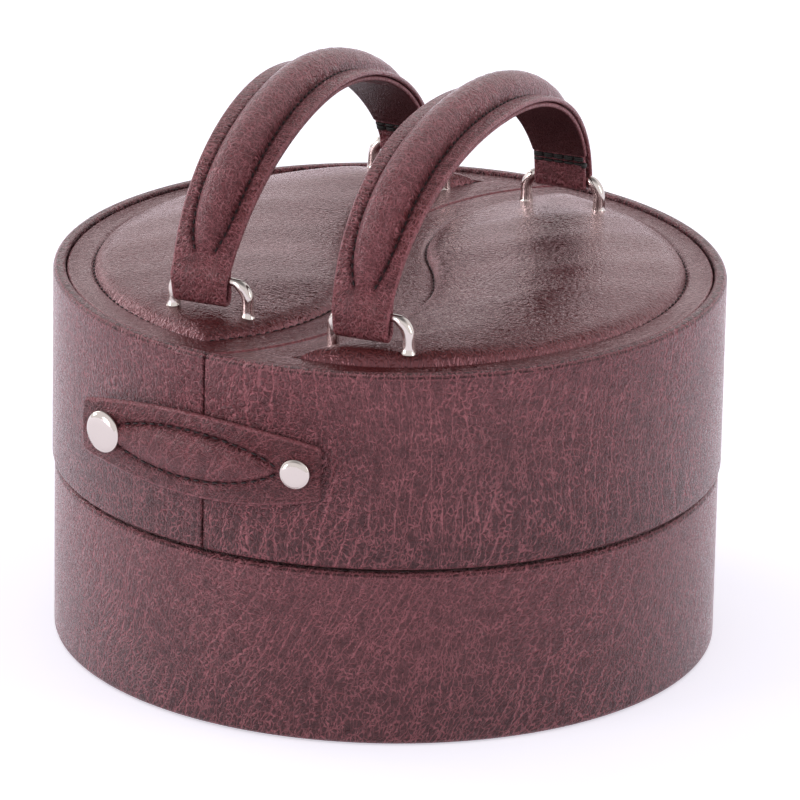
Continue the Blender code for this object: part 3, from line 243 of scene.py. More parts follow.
def dressed(look, *nodes):
    """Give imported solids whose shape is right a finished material."""
    for node in nodes:
        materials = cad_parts[node].data.materials
        materials.clear()
        materials.append(look)


FIBREBOARD = fibreboard()
dressed(FIBREBOARD, "base_wall_board", "base_floor_board")

# Lower drum: one strip of burgundy hide glued round the wall board, turned in over the rim and under the
# foot. Its grain is a fine pebble crossed by paler creases that lean to the right.
HIDE = 0.0008
RIM_WIDTH = 0.0042
RIM_ROUND = 0.0019
RIM_INNER_ROUND = 0.0012
FOOT_ROUND = 0.0018
TURN_IN = 0.0080
UNDER_TURN = 0.0062
AROUND = 240
LOWER_LEAN = radians(25)
HIDE_TONE = (0.021, 0.0048, 0.0066)
HIDE_RED = (0.032, 0.0062, 0.0070)
HIDE_CREASE = (0.440, 0.182, 0.202)
# Pale hide for rubbed wear and for highlights painted on rims and edges.
HIDE_WORN_AND_HIGHLIGHT = (0.450, 0.190, 0.210)
HIDE_GLEAM = (1.0, 0.42, 0.50)
HIDE_SPECK = (0.24, 0.16, 0.19)
# Painted shade for sewn valleys.
HIDE_PAINTED_SHADE = (0.012, 0.006, 0.007)
HIDE_RELIEF = 0.0010
GLAZE_DENSITY, GLAZE_ROUGHNESS = 1.32, 0.17
LONG_CREASE = (0.0052, 0.0230, 0.00040)
SHORT_CREASE = (0.0024, 0.0060, 0.00026)
PEBBLE = (0.00150, 0.00230)
DRIFTS = ((17.0, 0.018), (420.0, 0.0016), (1500.0, 0.0007))


def cell_border(tree, place, width, length, shift=0.0):
    """Distance to the nearest border of Voronoi cells of that width and length, in shares of a cell."""
    moved = vector_step(tree, "ADD", place, (shift, 0, 0))
    scaled = vector_step(tree, "MULTIPLY", moved, (1 / width, 1 / length, 0))
    cells = add_node(tree, "ShaderNodeTexVoronoi", {"Vector": scaled, "Scale": 1.0},
                     voronoi_dimensions="2D", feature="DISTANCE_TO_EDGE")
    return cells.outputs["Distance"]


def crease_net(tree, place, width, length, half):
    """1 along the lengthwise borders of the cells, fading to 0 half a crease's width away. The border distance is
    divided by how fast it changes sideways, so lengthwise borders keep one width and crosswise ones thin out."""
    step = 0.00003
    here = cell_border(tree, place, width, length)
    beside = cell_border(tree, place, width, length, step)
    slope = combine(tree, "ABSOLUTE", combine(tree, "SUBTRACT", beside, here), 0.0)
    across = combine(tree, "DIVIDE", combine(tree, "MULTIPLY", here, step), combine(tree, "MAXIMUM", slope, 1e-5))
    return ranged(tree, across, half * 0.1, half, 1.0, 0.0, "SMOOTHSTEP")


def cloud(tree, place, scale, low, high, detail=2.0):
    """Soft noise of that scale per metre, spread to 0 below low and 1 above high."""
    return ranged(tree, noise(tree, place, scale, detail, "2D")["Fac"], low, high)


def drifted(tree, place, scale, reach):
    """The place moved by soft noise of that scale per metre, by up to about a third of reach either way."""
    shift = vector_step(tree, "ADD", noise(tree, place, scale, 1.0, "2D")["Color"], (-0.5, -0.5, -0.5))
    return vector_step(tree, "MULTIPLY_ADD", shift, (reach, reach, 0), place)


def hide_grain_group():
    """Grain of the hide: long creases, shorter ones between them and a net of fine pebbles, on a flat pattern
    that drifts slowly and trembles a little."""
    tree = bpy.data.node_groups.new("hide_grain", "ShaderNodeTree")
    given, made = group_sockets(
        tree,
        [("Vector", "Vector", None), ("Lean", "Float", 0.0), ("Long", "Float", 1.0), ("Net", "Float", 1.0)],
        [("Creases", "Float"), ("Patches", "Float"), ("Speckle", "Float"), ("Height", "Float")])
    place = given.outputs["Vector"]
    drifting = place
    for scale, reach in DRIFTS:
        drifting = drifted(tree, drifting, scale, reach)
    leaned = add_node(tree, "ShaderNodeVectorRotate", {"Vector": drifting, "Angle": given.outputs["Lean"]},
                      rotation_type="Z_AXIS")
    leaned = leaned.outputs[0]
    long_veil = combine(tree, "MULTIPLY", cloud(tree, place, 36.0, 0.34, 0.54), given.outputs["Long"])
    long_lines = combine(tree, "MULTIPLY", crease_net(tree, leaned, *LONG_CREASE), long_veil)
    short_veil = combine(tree, "MULTIPLY", cloud(tree, place, 120.0, 0.28, 0.54), given.outputs["Net"])
    short_lines = combine(tree, "MULTIPLY", crease_net(tree, leaned, *SHORT_CREASE), short_veil)
    net = ranged(tree, cell_border(tree, leaned, *PEBBLE), 0.03, 0.20, 1.0, 0.0, "SMOOTHSTEP")
    fine_lines = combine(tree, "MULTIPLY", net, cloud(tree, place, 210.0, 0.30, 0.62))
    both = combine(tree, "MAXIMUM", long_lines, combine(tree, "MULTIPLY", short_lines, 0.85))
    creases = combine(tree, "MAXIMUM", both, combine(tree, "MULTIPLY", fine_lines, 0.75))
    speckle = cloud(tree, drifting, 1900.0, 0.40, 0.66, 1.0)
    pebbles = combine(tree, "MULTIPLY", combine(tree, "SUBTRACT", 1.0, net), 0.60)
    lumps = combine(tree, "ADD", pebbles, combine(tree, "MULTIPLY", speckle, 0.30))
    height = combine(tree, "SUBTRACT", lumps, combine(tree, "MULTIPLY", both, 0.60))
    tree.links.new(creases, made.inputs["Creases"])
    tree.links.new(cloud(tree, place, 33.0, 0.32, 0.70), made.inputs["Patches"])
    tree.links.new(speckle, made.inputs["Speckle"])
    tree.links.new(height, made.inputs["Height"])
    return tree


HIDE_GRAIN = hide_grain_group()


def leather(name, lean=0.0, long=1.0, net=1.0, tones=(HIDE_TONE, HIDE_RED, HIDE_CREASE),
            roughness=(0.24, 0.36), bump=0.85, crease=1.0, mapped=True, gloss=0.35, density=1.5,
            glaze=1.0, glaze_tint=(1.0, 0.80, 0.84)):
    """Dyed hide on the piece's flat map: its tone drifts in patches, and creases are paler. Where the piece's wear
    and painted light is above 0 it is paler, from rubbed wear and from highlights painted on rims and edges, and
    where it is below 0 it gets painted shade, as in a sewn valley. Gloss and density set how the hide itself
    shines, and the glaze is a thin tinted finish over it."""
    made, tree, shader = plain_look(name, tones[0], roughness[0])
    for key, value in (("Specular IOR Level", gloss), ("IOR", density), ("Specular Tint", (*HIDE_GLEAM, 1)),
                       ("Coat Weight", glaze), ("Coat IOR", GLAZE_DENSITY),
                       ("Coat Roughness", GLAZE_ROUGHNESS), ("Coat Tint", (*glaze_tint, 1))):
        shader.inputs[key].default_value = value
    if mapped:
        flat = add_node(tree, "ShaderNodeUVMap", uv_map="hide").outputs["UV"]
    else:
        flat = add_node(tree, "ShaderNodeTexCoord").outputs["Object"]
    grain = add_node(tree, "ShaderNodeGroup", node_tree=HIDE_GRAIN)
    tree.links.new(flat, grain.inputs["Vector"])
    for key, value in (("Lean", lean), ("Long", long), ("Net", net)):
        grain.inputs[key].default_value = value
    ground, red, pale = ((*tone, 1) for tone in tones)
    colour = mixed(tree, grain.outputs["Patches"], ground, red)
    colour = mixed(tree, grain.outputs["Speckle"], colour, (*HIDE_SPECK, 1), "MULTIPLY")
    colour = mixed(tree, combine(tree, "MULTIPLY", grain.outputs["Creases"], crease), colour, pale)
    # Above 0: paler, from rubbed wear and from painted highlights on rims and edges.
    wear_and_light_amount = add_node(tree, "ShaderNodeAttribute", attribute_name="wear_and_painted_light").outputs["Fac"]
    rub_and_light_marks = combine(tree, "MULTIPLY", combine(tree, "MAXIMUM", wear_and_light_amount, 0.0),
                     cloud(tree, flat, 900.0, 0.10, 0.70))
    colour = mixed(tree, rub_and_light_marks, colour, (*HIDE_WORN_AND_HIGHLIGHT, 1))
    # Below 0: painted shade, as in a sewn valley.
    shade = combine(tree, "MAXIMUM", combine(tree, "MULTIPLY", wear_and_light_amount, -0.75), 0.0)
    colour = mixed(tree, shade, colour, (*HIDE_PAINTED_SHADE, 1))
    tree.links.new(colour, shader.inputs["Base Color"])
    polish = ranged(tree, grain.outputs["Speckle"], start=roughness[0], end=roughness[1])
    tree.links.new(polish, shader.inputs["Roughness"])
    relief = raised_by(tree, shader, grain.outputs["Height"], bump, HIDE_RELIEF)
    tree.links.new(relief, shader.inputs["Coat Normal"])
    return made


def mesh_piece(name, grids, look, body, slot, *nodes, ends=False, crisp=48):
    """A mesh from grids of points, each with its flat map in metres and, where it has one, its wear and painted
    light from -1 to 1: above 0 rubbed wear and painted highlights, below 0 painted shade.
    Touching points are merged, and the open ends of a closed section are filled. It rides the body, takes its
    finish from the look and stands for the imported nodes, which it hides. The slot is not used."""
    places, maps, wear_and_light_values, faces, count = [], [], [], [], 0
    for grid in grids:
        points, flat = grid[0], grid[1]
        rows, columns = points.shape[:2]
        index = np.arange(rows * columns).reshape(rows, columns) + count
        quads = np.stack([index[:-1, :-1], index[:-1, 1:], index[1:, 1:], index[1:, :-1]], -1).reshape(-1, 4)
        faces += quads.tolist()
        if ends:
            faces += [index[0, :-1].tolist(), index[-1, :-1].tolist()]
        places.append(points.reshape(-1, 3))
        maps.append(np.broadcast_to(flat, (rows, columns, 2)).reshape(-1, 2))
        wear_and_light_amount = grid[2] if len(grid) > 2 else 0.0
        wear_and_light_values.append(np.broadcast_to(wear_and_light_amount, (rows, columns)).reshape(-1))
        count += rows * columns
    mesh = bpy.data.meshes.new(name)
    mesh.from_pydata(np.concatenate(places).tolist(), [], faces)
    corners = np.fromiter((corner for face in faces for corner in face), int)
    layer = mesh.uv_layers.new(name="hide")
    layer.uv.foreach_set("vector", np.concatenate(maps)[corners].astype(np.float32).ravel())
    wear_and_painted_light = mesh.attributes.new("wear_and_painted_light", "FLOAT", "POINT")
    wear_and_painted_light.data.foreach_set("value", np.concatenate(wear_and_light_values).astype(np.float32))
    shape = bmesh.new()
    shape.from_mesh(mesh)
    bmesh.ops.remove_doubles(shape, verts=shape.verts, dist=2e-6)
    bmesh.ops.dissolve_degenerate(shape, edges=shape.edges, dist=1e-7)
    bmesh.ops.recalc_face_normals(shape, faces=shape.faces)
    shape.to_mesh(mesh)
    shape.free()
    mesh.shade_smooth()
    mesh.set_sharp_from_angle(angle=radians(crisp))
    mesh.materials.append(look)
    made = bpy.data.objects.new(name, mesh)
    bpy.context.scene.collection.objects.link(made)
    if body:
        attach(made, body)
    if nodes:
        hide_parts(*nodes)
    return made


def bend(centre, radius, start, end, count=9):
    """Points on an arc between two angles in degrees."""
    angle = np.radians(np.linspace(start, end, count))
    return np.stack([centre[0] + radius * np.cos(angle), centre[1] + radius * np.sin(angle)], 1)


def run_length(line):
    """Distance along a line of points from its first point to each of them."""
    return np.concatenate([[0.0], np.cumsum(np.linalg.norm(np.diff(line, axis=0), axis=1))])


def bell(distance, width):
    """1 where the distance is 0, falling away smoothly over that width: e to the minus (distance / width) squared."""
    return np.exp(-(distance / width) ** 2)


def wrap_section(radius, bottom, top):
    """Section of the hide as (radius, height): up the wall, over the rim and down its inside, then back along
    the glued side, closed. With it comes how much each point is paled: rubbed wear on the rim's outer round,
    most of all, and on the foot, and a painted highlight along the rim's inner round."""
    rim = radius - RIM_WIDTH
    foot = bend((radius - FOOT_ROUND, bottom + FOOT_ROUND), FOOT_ROUND, -90, 0)
    shoulder = bend((radius - RIM_ROUND, top - RIM_ROUND), RIM_ROUND, 0, 90, 13)
    inner = bend((rim + RIM_INNER_ROUND, top - RIM_INNER_ROUND), RIM_INNER_ROUND, 90, 180)
    lip = [(rim, top - TURN_IN), (rim + HIDE, top - TURN_IN)]
    back = [(rim + HIDE, top - 2 * HIDE), (rim + 2 * HIDE, top - HIDE), (radius - 2 * HIDE, top - HIDE),
            (radius - HIDE, top - 2 * HIDE), (radius - HIDE, bottom + 2 * HIDE),
            (radius - 2 * HIDE, bottom + HIDE), (radius - UNDER_TURN, bottom + HIDE),
            (radius - UNDER_TURN, bottom)]
    section = np.concatenate([foot, shoulder, inner, lip, back, foot[:1]])
    steps = np.arange(len(section))
    first = len(foot) + 1
    # The rim's outer round and the foot are rubbed paler from wear; the last entry is a painted highlight along the
    # rim's inner round.
    rubs_and_highlights = ((0.75, first, 1.3), (0.85, first + 6, 1.5), (0.35, len(foot) // 2, 2.5),
            (0.60, first + len(shoulder) + 1, 2.2))
    return section, sum(wear_and_light_amount * bell(steps - middle, width) for wear_and_light_amount, middle, width in rubs_and_highlights)


def flat_map(first, second):
    """Two lengths as a map, each spread over the other's grid."""
    return np.stack(np.broadcast_arrays(first, second), -1)


def ring_grid(sections, wear_and_painted_light, angles, radius):
    """Sections of (radius, height) stood at angles round the box, mapped by length round and up the wall."""
    sections = np.broadcast_to(sections, (len(angles), *np.shape(sections)[-2:]))
    across = sections[..., 0]
    points = np.stack([across * np.cos(angles)[:, None], across * np.sin(angles)[:, None], sections[..., 1]], -1)
    return points, flat_map(angles[:, None] * radius, run_length(sections[0])[None]), wear_and_painted_light


base_low, base_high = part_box("base_leather_wrap")
BASE_RADIUS = base_high.x
LOWER_HIDE = leather("lower_drum_hide", LOWER_LEAN)
base_section, base_worn = wrap_section(BASE_RADIUS, base_low.z, base_high.z)
base_angles = np.linspace(pi / 2, 5 * pi / 2, AROUND + 1)
mesh_piece("lower_drum_hide", [ring_grid(base_section, base_worn, base_angles, BASE_RADIUS)], LOWER_HIDE,
           "base", "burgundy_leather", "base_leather_wrap")

# Inside the lower drum: beige suede cloth over card lines the wall and the floor, and covers the cross walls.
# Behind them a pad of suede rolls, sewn down between each two, holds rings. A dark hide disc closes the foot.
SUEDE_DARK, SUEDE_PALE = (0.270, 0.185, 0.120), (0.470, 0.360, 0.255)
ROLL_PITCH, ROLL_GAP = 0.0150, 0.0010
FIT = 0.0003
DARK_TONES = ((0.030, 0.0100, 0.0105), (0.040, 0.0125, 0.0120), (0.090, 0.042, 0.042))


def suede():
    """Brushed nap: broad strokes of lighter and darker tone, with a fine fuzz over them that also raises it."""
    made, tree, shader = plain_look("beige_suede", SUEDE_DARK, 0.95)
    shader.inputs["Sheen Weight"].default_value = 0.35
    shader.inputs["Sheen Roughness"].default_value = 0.5
    shader.inputs["Specular IOR Level"].default_value = 0.15
    place = add_node(tree, "ShaderNodeTexCoord").outputs["Object"]
    brushed = vector_step(tree, "MULTIPLY", place, (60, 60, 26))
    strokes = noise(tree, brushed, 1.0, 3.0, distortion=0.6)["Fac"]
    fuzz = noise(tree, place, 2200.0, 3.0)["Fac"]
    both = combine(tree, "ADD", combine(tree, "MULTIPLY", strokes, 0.55), combine(tree, "MULTIPLY", fuzz, 0.45))
    tree.links.new(mixed(tree, ranged(tree, both, 0.32, 0.68), (*SUEDE_DARK, 1), (*SUEDE_PALE, 1)),
                   shader.inputs["Base Color"])
    raised_by(tree, shader, fuzz, 0.35, 0.0002)
    return made


SUEDE = suede()


def eased(node, name, look, body, width):
    """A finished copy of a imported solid: doubles merged, flat faces joined, curves shaded smooth and corners
    rounded by a bevel of that width."""
    mesh = bpy.data.meshes.new(name)
    shape = bmesh.new()
    shape.from_mesh(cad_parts[node].data)
    bmesh.ops.remove_doubles(shape, verts=shape.verts, dist=2e-6)
    bmesh.ops.dissolve_limit(shape, angle_limit=radians(0.5), verts=shape.verts, edges=shape.edges)
    bmesh.ops.recalc_face_normals(shape, faces=shape.faces)
    shape.to_mesh(mesh)
    shape.free()
    mesh.shade_smooth()
    mesh.materials.append(look)
    made = bpy.data.objects.new(name, mesh)
    bpy.context.scene.collection.objects.link(made)
    rounding = made.modifiers.new("rounded corners", "BEVEL")
    rounding.width = width
    rounding.segments = 2
    rounding.limit_method = "ANGLE"
    rounding.angle_limit = radians(35)
    made.modifiers.new("flat faces stay flat", "WEIGHTED_NORMAL")
    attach(made, body)
    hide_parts(node)
    return made


lining_low, lining_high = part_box("base_lining")
LINING_RADIUS = lining_high.x
LINING = 0.0010
DECK = lining_low.z + LINING
COVE = 0.0022
lining_inner = LINING_RADIUS - LINING
bowl = np.concatenate([[(0, DECK), (lining_inner - COVE - 0.02, DECK)],
                       bend((lining_inner - COVE, DECK + COVE), COVE, -90, 0),
                       [(lining_inner, lining_high.z - LINING / 2)],
                       bend((LINING_RADIUS - LINING / 2, lining_high.z - LINING / 2), LINING / 2, 180, 0),
                       [(LINING_RADIUS, lining_low.z), (0, lining_low.z)]])
mesh_piece("lower_suede_lining", [ring_grid(bowl, 0.0, base_angles, LINING_RADIUS)], SUEDE, "base", "suede",
           "base_lining")
eased("base_dividers", "suede_cross_walls", SUEDE, "base", 0.0011)


def ring_rolls():
    """Pad of half-round rolls side by side, each height a half ellipse across its width over a sewn channel, that
    slopes down and puckers a little at both ends."""
    low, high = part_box("base_ring_pad")
    inside = np.hypot(high.x, low.y)
    count = round((high.y - low.y + ROLL_GAP) / ROLL_PITCH)
    turn = np.linspace(pi, 0, 25)
    middles = low.y + (ROLL_PITCH - ROLL_GAP) / 2 + ROLL_PITCH * np.arange(count)
    across = (middles[:, None] + (ROLL_PITCH - ROLL_GAP) / 2 * np.cos(turn)).ravel()
    rise = np.tile(0.40 + 0.60 * np.sin(turn) ** 0.85, count)
    share = np.sin(np.linspace(-pi / 2, pi / 2, 121))[:, None]
    end = np.clip((np.abs(share) - 0.90) / 0.10, 0, 1)
    full = 0.70 + 0.30 * np.sqrt(1 - end ** 2)
    pucker = 0.00022 * np.sin(share * 150 + across * 900) * bell(rise - 0.5, 0.12)
    sag = 0.00030 * np.sin(share * 9 + across * 210) * (rise - 0.4)
    up = (high.z - low.z - 0.0004) * rise * full + pucker + sag
    reach = np.sqrt(inside ** 2 - across ** 2) - 2 * FIT
    top = np.stack([share * reach, across + 0 * share, low.z + up], -1)
    under = np.stack([share * reach[::-1], across[::-1] + 0 * share, np.full(up.shape, low.z)], -1)
    points = np.concatenate([top, under, top[:, :1]], 1)
    return points, points[..., :2]


ring_pad = mesh_piece("ring_roll_pad", [ring_rolls()], SUEDE, "base", "suede", "base_ring_pad", ends=True,
                      crisp=60)
DARK_HIDE = leather("dark_cover_hide", 0.4, 0.6, 1.0, DARK_TONES, (0.42, 0.55), 0.5, 0.4, mapped=False, glaze=0.4)
dressed(DARK_HIDE, "base_bottom_cover")

# Upper drum: two strips of the same hide, one round each half, that meet at the front and at the back.
# Each end is folded over the board's end, which rounds the edges of the dark line between the halves.
lid_low, lid_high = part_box("right_leather_wrap")
LID_RADIUS = lid_high.x
LID_BOTTOM = lid_low.z
LID_TOP = lid_high.z
SEAM_HALF = 0.00022
SEAM_ROUND = 0.0007
UPPER_LEAN = radians(7)
SIDES = (("right", 1), ("left", -1))
BODY = {"right": "right_half", "left": "left_half"}
UPPER_HIDE = {"right": leather("right_drum_hide", UPPER_LEAN, 1.1),
              "left": leather("left_drum_hide", 0.0, 0.75, 0.9)}


def about(grid, sign):
    """The grid itself for the right half, or turned half a turn about the middle for the left half."""
    return (grid[0] * (sign, sign, 1), *grid[1:])


def seam_stations(inner):
    """Angles round a half, closer together at its two seams, with how far the folded end draws in at each."""
    near = SEAM_ROUND * (1 - np.cos(np.linspace(0, pi / 2, 7)))
    start = SEAM_HALF / LID_RADIUS - pi / 2
    first = start + near / LID_RADIUS
    middle = np.linspace(first[-1], -first[-1], inner)[1:-1]
    drawn = SEAM_ROUND - np.sqrt(np.maximum(SEAM_ROUND ** 2 - (SEAM_ROUND - near) ** 2, 0))
    return np.concatenate([first, middle, -first[::-1]]), np.concatenate([drawn, middle * 0, drawn[::-1]])


for side, sign in SIDES:
    angles, drawn = seam_stations(AROUND // 2)
    sections = [wrap_section(LID_RADIUS - inset, LID_BOTTOM + inset, LID_TOP - inset)[0] for inset in drawn]
    wear_and_painted_light = wrap_section(LID_RADIUS, LID_BOTTOM, LID_TOP)[1]
    grid = ring_grid(np.array(sections), wear_and_painted_light, angles, LID_RADIUS)
    mesh_piece(side + "_drum_hide", [about(grid, sign)], UPPER_HIDE[side], BODY[side], "burgundy_leather",
               side + "_leather_wrap", ends=True)

# Boards of the halves: a floor and a top of fibreboard, cut along the S curve and glued into each wall, with a
# disc of dark hide under the floor. The lining is suede over card, as in the lower drum.
S_END = LID_RADIUS - RIM_WIDTH
S_BULGE = 0.0210
S_HALF = S_END / 2
S_RADIUS = (S_HALF ** 2 + S_BULGE ** 2) / (2 * S_BULGE)
S_X, S_Y = S_RADIUS - S_BULGE, S_HALF
S_TURN = atan2(S_Y, S_X)
ALONG = 260
SEAM = 0.0004
KERB = 0.0024
FLOOR_CARD = 0.0010
FLOOR_INSET = 0.0034
WALL_BOARD = 0.0020


def s_line(limit, inset, count):
    """The S curve from front to back, set into the right half by inset and ending at the limit radius: an arc
    about the mirrored centre with the inset added, then one about the centre with it taken off."""
    front, back = S_RADIUS + inset, S_RADIUS - inset
    reach = np.hypot(S_X, S_Y)
    start = S_TURN - pi + np.arccos((limit ** 2 - reach ** 2 - front ** 2) / (2 * front * reach))
    stop = S_TURN + np.arccos(np.clip((limit ** 2 - reach ** 2 - back ** 2) / (2 * back * reach), -1, 1))
    stub = front * cos(start) - S_X < inset
    if stub:
        start = -np.arccos((inset + S_X) / front)
        stop = pi - np.arccos((S_X - inset) / back)
    line = [bend((-S_X, -S_Y), front, np.degrees(start), np.degrees(S_TURN), 200),
            bend((S_X, S_Y), back, np.degrees(S_TURN + pi), np.degrees(stop), 200)[1:]]
    if stub:
        tip = sqrt(limit ** 2 - inset ** 2)
        line = [[(inset, -tip)], *line, [(inset, tip)]]
    return evenly(np.concatenate(line), count)


def evenly(line, count):
    """The same line with evenly spaced points."""
    run = run_length(line)
    along = np.linspace(0, run[-1], count)
    return np.stack([np.interp(along, run, line[:, axis]) for axis in range(line.shape[1])], 1)


def outline(limit, inset, count=ALONG):
    """The S edge and the outer arc of the right half, both from front to back."""
    edge = s_line(limit, inset, count)
    start, stop = np.arctan2(edge[0, 1], edge[0, 0]), np.arctan2(edge[-1, 1], edge[-1, 0])
    return edge, bend((0, 0), limit, np.degrees(start), np.degrees(stop), count)


def raised(plan, height):
    """Places seen from above, each given its height."""
    return np.concatenate([plan, np.broadcast_to(height, plan.shape[:-1])[..., None]], -1)


def slab_grid(limit, inset, low, high, ease):
    """A flat piece of a half as a closed section at each station along the S: up its S edge, over to the outer
    arc, down that and back, with quarter rounds at its four corners."""
    corner = np.radians(np.linspace(0, 90, 4))
    drawn = np.concatenate([ease * (1 - np.sin(corner)), ease * (1 - np.cos(corner))])
    level = np.concatenate([low + ease * (1 - np.cos(corner)), high - ease * (1 - np.sin(corner))])
    rows = [outline(limit - back, inset + back) for back in drawn]
    section = [[raised(row[which], up) for row, up in zip(rows, level)] for which in (0, 1)]
    points = np.stack(section[0] + section[1][::-1] + section[0][:1], 1)
    return points, points[..., :2]


def kerb_grid(limit, inset, low, high, thick, ease):
    """A low wall along the S edge: a rounded section of (inset, height) carried along the S curve."""
    corner = np.radians(np.linspace(0, 90, 6))
    sines, cosines = ease * np.sin(corner), ease * np.cos(corner)
    across = np.concatenate([[inset], inset + ease - cosines, inset + thick - ease + sines,
                             [inset + thick, inset]])
    level = np.concatenate([[low], high - ease + sines, high - ease + cosines, [low, low]])
    points = np.stack([raised(s_line(limit, back, ALONG), up) for back, up in zip(across, level)], 1)
    return points, points[..., :2]


def lining_grid(side):
    """Section of the wall's lining, up the wall and in over the hide's turned edge, carried round the half."""
    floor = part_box(side + "_floor_board")[1].z + FIT
    out, top = LID_RADIUS - HIDE - WALL_BOARD - 2 * FIT, LID_TOP - TURN_IN - FIT
    inner, brim = S_END - FIT - LINING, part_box(side + "_top_board")[0].z - FIT
    section = np.array([(inner, floor), (out, floor), (out, top), (S_END - FIT, top), (S_END - FIT, brim),
                        (inner, brim), (inner, floor)])
    edge = s_line(inner, SEAM, 9)
    angles = np.linspace(atan2(edge[0, 1], edge[0, 0]), pi / 2 - SEAM / inner, 150)
    return ring_grid(section, 0.0, angles, inner)[:2]


for side, sign in SIDES:
    inside = S_END - 2 * FIT - LINING
    dressed(FIBREBOARD, side + "_wall_board")
    flats = (("floor_board", FIBREBOARD, "fibreboard", LID_RADIUS - FLOOR_INSET),
             ("top_board", FIBREBOARD, "fibreboard", S_END - FIT),
             ("bottom_cover", DARK_HIDE, "dark_leather", LID_RADIUS - UNDER_TURN - FIT))
    for part, look, slot, limit in flats:
        node = f"{side}_{part}"
        low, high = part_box(node)
        slab = about(slab_grid(limit, SEAM, low.z, high.z, 0.0002), sign)
        mesh_piece(node + "_flat", [slab], look, BODY[side], slot, node, ends=True, crisp=40)
    floor_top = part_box(side + "_floor_board")[1].z + FIT
    card = slab_grid(S_END - LINING, SEAM, floor_top, floor_top + FLOOR_CARD, 0.0003)
    kerb_low, kerb_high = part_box(side + "_kerb")
    kerb = kerb_grid(inside, SEAM, kerb_low.z, kerb_high.z, KERB, 0.0009)
    for part, grids in (("lining", [lining_grid(side), card]), ("kerb", [kerb])):
        mesh_piece(f"{side}_suede_{part}", [about(grid, sign) for grid in grids], SUEDE, BODY[side], "suede",
                   f"{side}_{part}", ends=True, crisp=40)

# Fittings of the halves: the left has a suede shelf on two partitions, and the right a rail with brass chain
# hooks over a suede pocket that catches the chains.
BRASS_TONE = (0.72, 0.50, 0.21)
HOOK_WIRE = 0.0010
HOOK_BEND = 0.0030
HOOK_DROP = 0.0100
HOOK_COUNT = 5
HOOK_SPAN, HOOK_SHARE = radians(50), 0.88
STRIP = 0.0012
for node, name, look, slot, width in (("left_shelf_unit", "left_suede_shelf", SUEDE, "suede", 0.0009),
                                      ("right_chain_pocket", "right_suede_pocket", SUEDE, "suede", 0.0005),
                                      ("right_hook_rail", "right_rail_board", FIBREBOARD, "fibreboard", 0.0007)):
    eased(node, name, look, BODY[node.split("_")[0]], width)


def headings(line, axis=0):
    """Unit directions along a line of points."""
    ahead = np.gradient(line, axis=axis)
    return ahead / np.linalg.norm(ahead, axis=-1, keepdims=True)


def rod_grid(route, radius, thick=14):
    """A round wire of one radius along a route of points, its section kept level with the route's plane."""
    ahead = headings(route)
    plane = np.cross(ahead[0], ahead[len(ahead) // 2 + 2])
    plane /= np.linalg.norm(plane)
    out = np.cross(ahead, plane)
    angle = np.linspace(0, 2 * pi, thick + 1)
    points = route[:, None] + radius * (plane * np.cos(angle)[:, None] + out[:, None] * np.sin(angle)[:, None])
    return points, flat_map(angle * radius, run_length(route)[:, None])


def hook_grids():
    """A brass strip bent along the rail, and five hooks of wire soldered to it: down, round and up again."""
    rail_low, rail_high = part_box("right_hook_rail")
    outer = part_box("right_chain_hooks")[1].x
    inner = outer - STRIP
    foot, top = rail_low.z, rail_high.z - STRIP
    band = np.array([(inner, foot), (inner, top), (outer, top), (outer, foot), (inner, foot)])
    grids = [ring_grid(band, 0.0, np.linspace(-HOOK_SPAN, HOOK_SPAN, 61), outer)[:2]]
    turn_level = foot - HOOK_DROP
    half_turn = bend((-HOOK_BEND, turn_level), HOOK_BEND, 0, -180, 15)
    profile = np.concatenate([[(0, foot + HOOK_BEND), (0, foot)], half_turn,
                              [(-2 * HOOK_BEND, turn_level + HOOK_BEND)]])
    for angle in np.linspace(-HOOK_SHARE, HOOK_SHARE, HOOK_COUNT) * HOOK_SPAN:
        radius = outer - STRIP - HOOK_WIRE * 0.6 + profile[:, 0]
        route = np.stack([radius * cos(angle), radius * sin(angle), profile[:, 1]], 1)
        grids.append(rod_grid(route, HOOK_WIRE))
    return grids


def polish_group():
    """Fine random scratches and faint smears of polished metal: a roughness and a height."""
    tree = bpy.data.node_groups.new("polish", "ShaderNodeTree")
    given, made = group_sockets(tree, [("Vector", "Vector", None), ("Low", "Float", 0.08), ("High", "Float", 0.2)],
                                [("Roughness", "Float"), ("Height", "Float")])
    place = given.outputs["Vector"]
    smear = noise(tree, place, 180.0, 3.0)["Fac"]
    hairs = noise(tree, vector_step(tree, "MULTIPLY", place, (900, 4200, 900)), 1.0, 2.0)["Fac"]
    gloss = ranged(tree, combine(tree, "MULTIPLY", smear, hairs), 0.12, 0.42, given.outputs["Low"],
                   given.outputs["High"])
    tree.links.new(gloss, made.inputs["Roughness"])
    tree.links.new(hairs, made.inputs["Height"])
    return tree


POLISH = polish_group()


def metal(name, tone, low, high):
    """Polished metal whose roughness wanders from low to high."""
    made, tree, shader = plain_look(name, tone, 0.15, 1.0)
    place = add_node(tree, "ShaderNodeTexCoord")
    polish = add_node(tree, "ShaderNodeGroup", node_tree=POLISH)
    tree.links.new(place.outputs["Object"], polish.inputs["Vector"])
    polish.inputs["Low"].default_value = low
    polish.inputs["High"].default_value = high
    tree.links.new(polish.outputs["Roughness"], shader.inputs["Roughness"])
    raised_by(tree, shader, polish.outputs["Height"], 0.08, 0.0001)
    return made


BRASS = metal("brass", BRASS_TONE, 0.12, 0.28)
mesh_piece("right_brass_hooks", hook_grids(), BRASS, "right_half", "brass", "right_chain_hooks", ends=True,
           crisp=50)

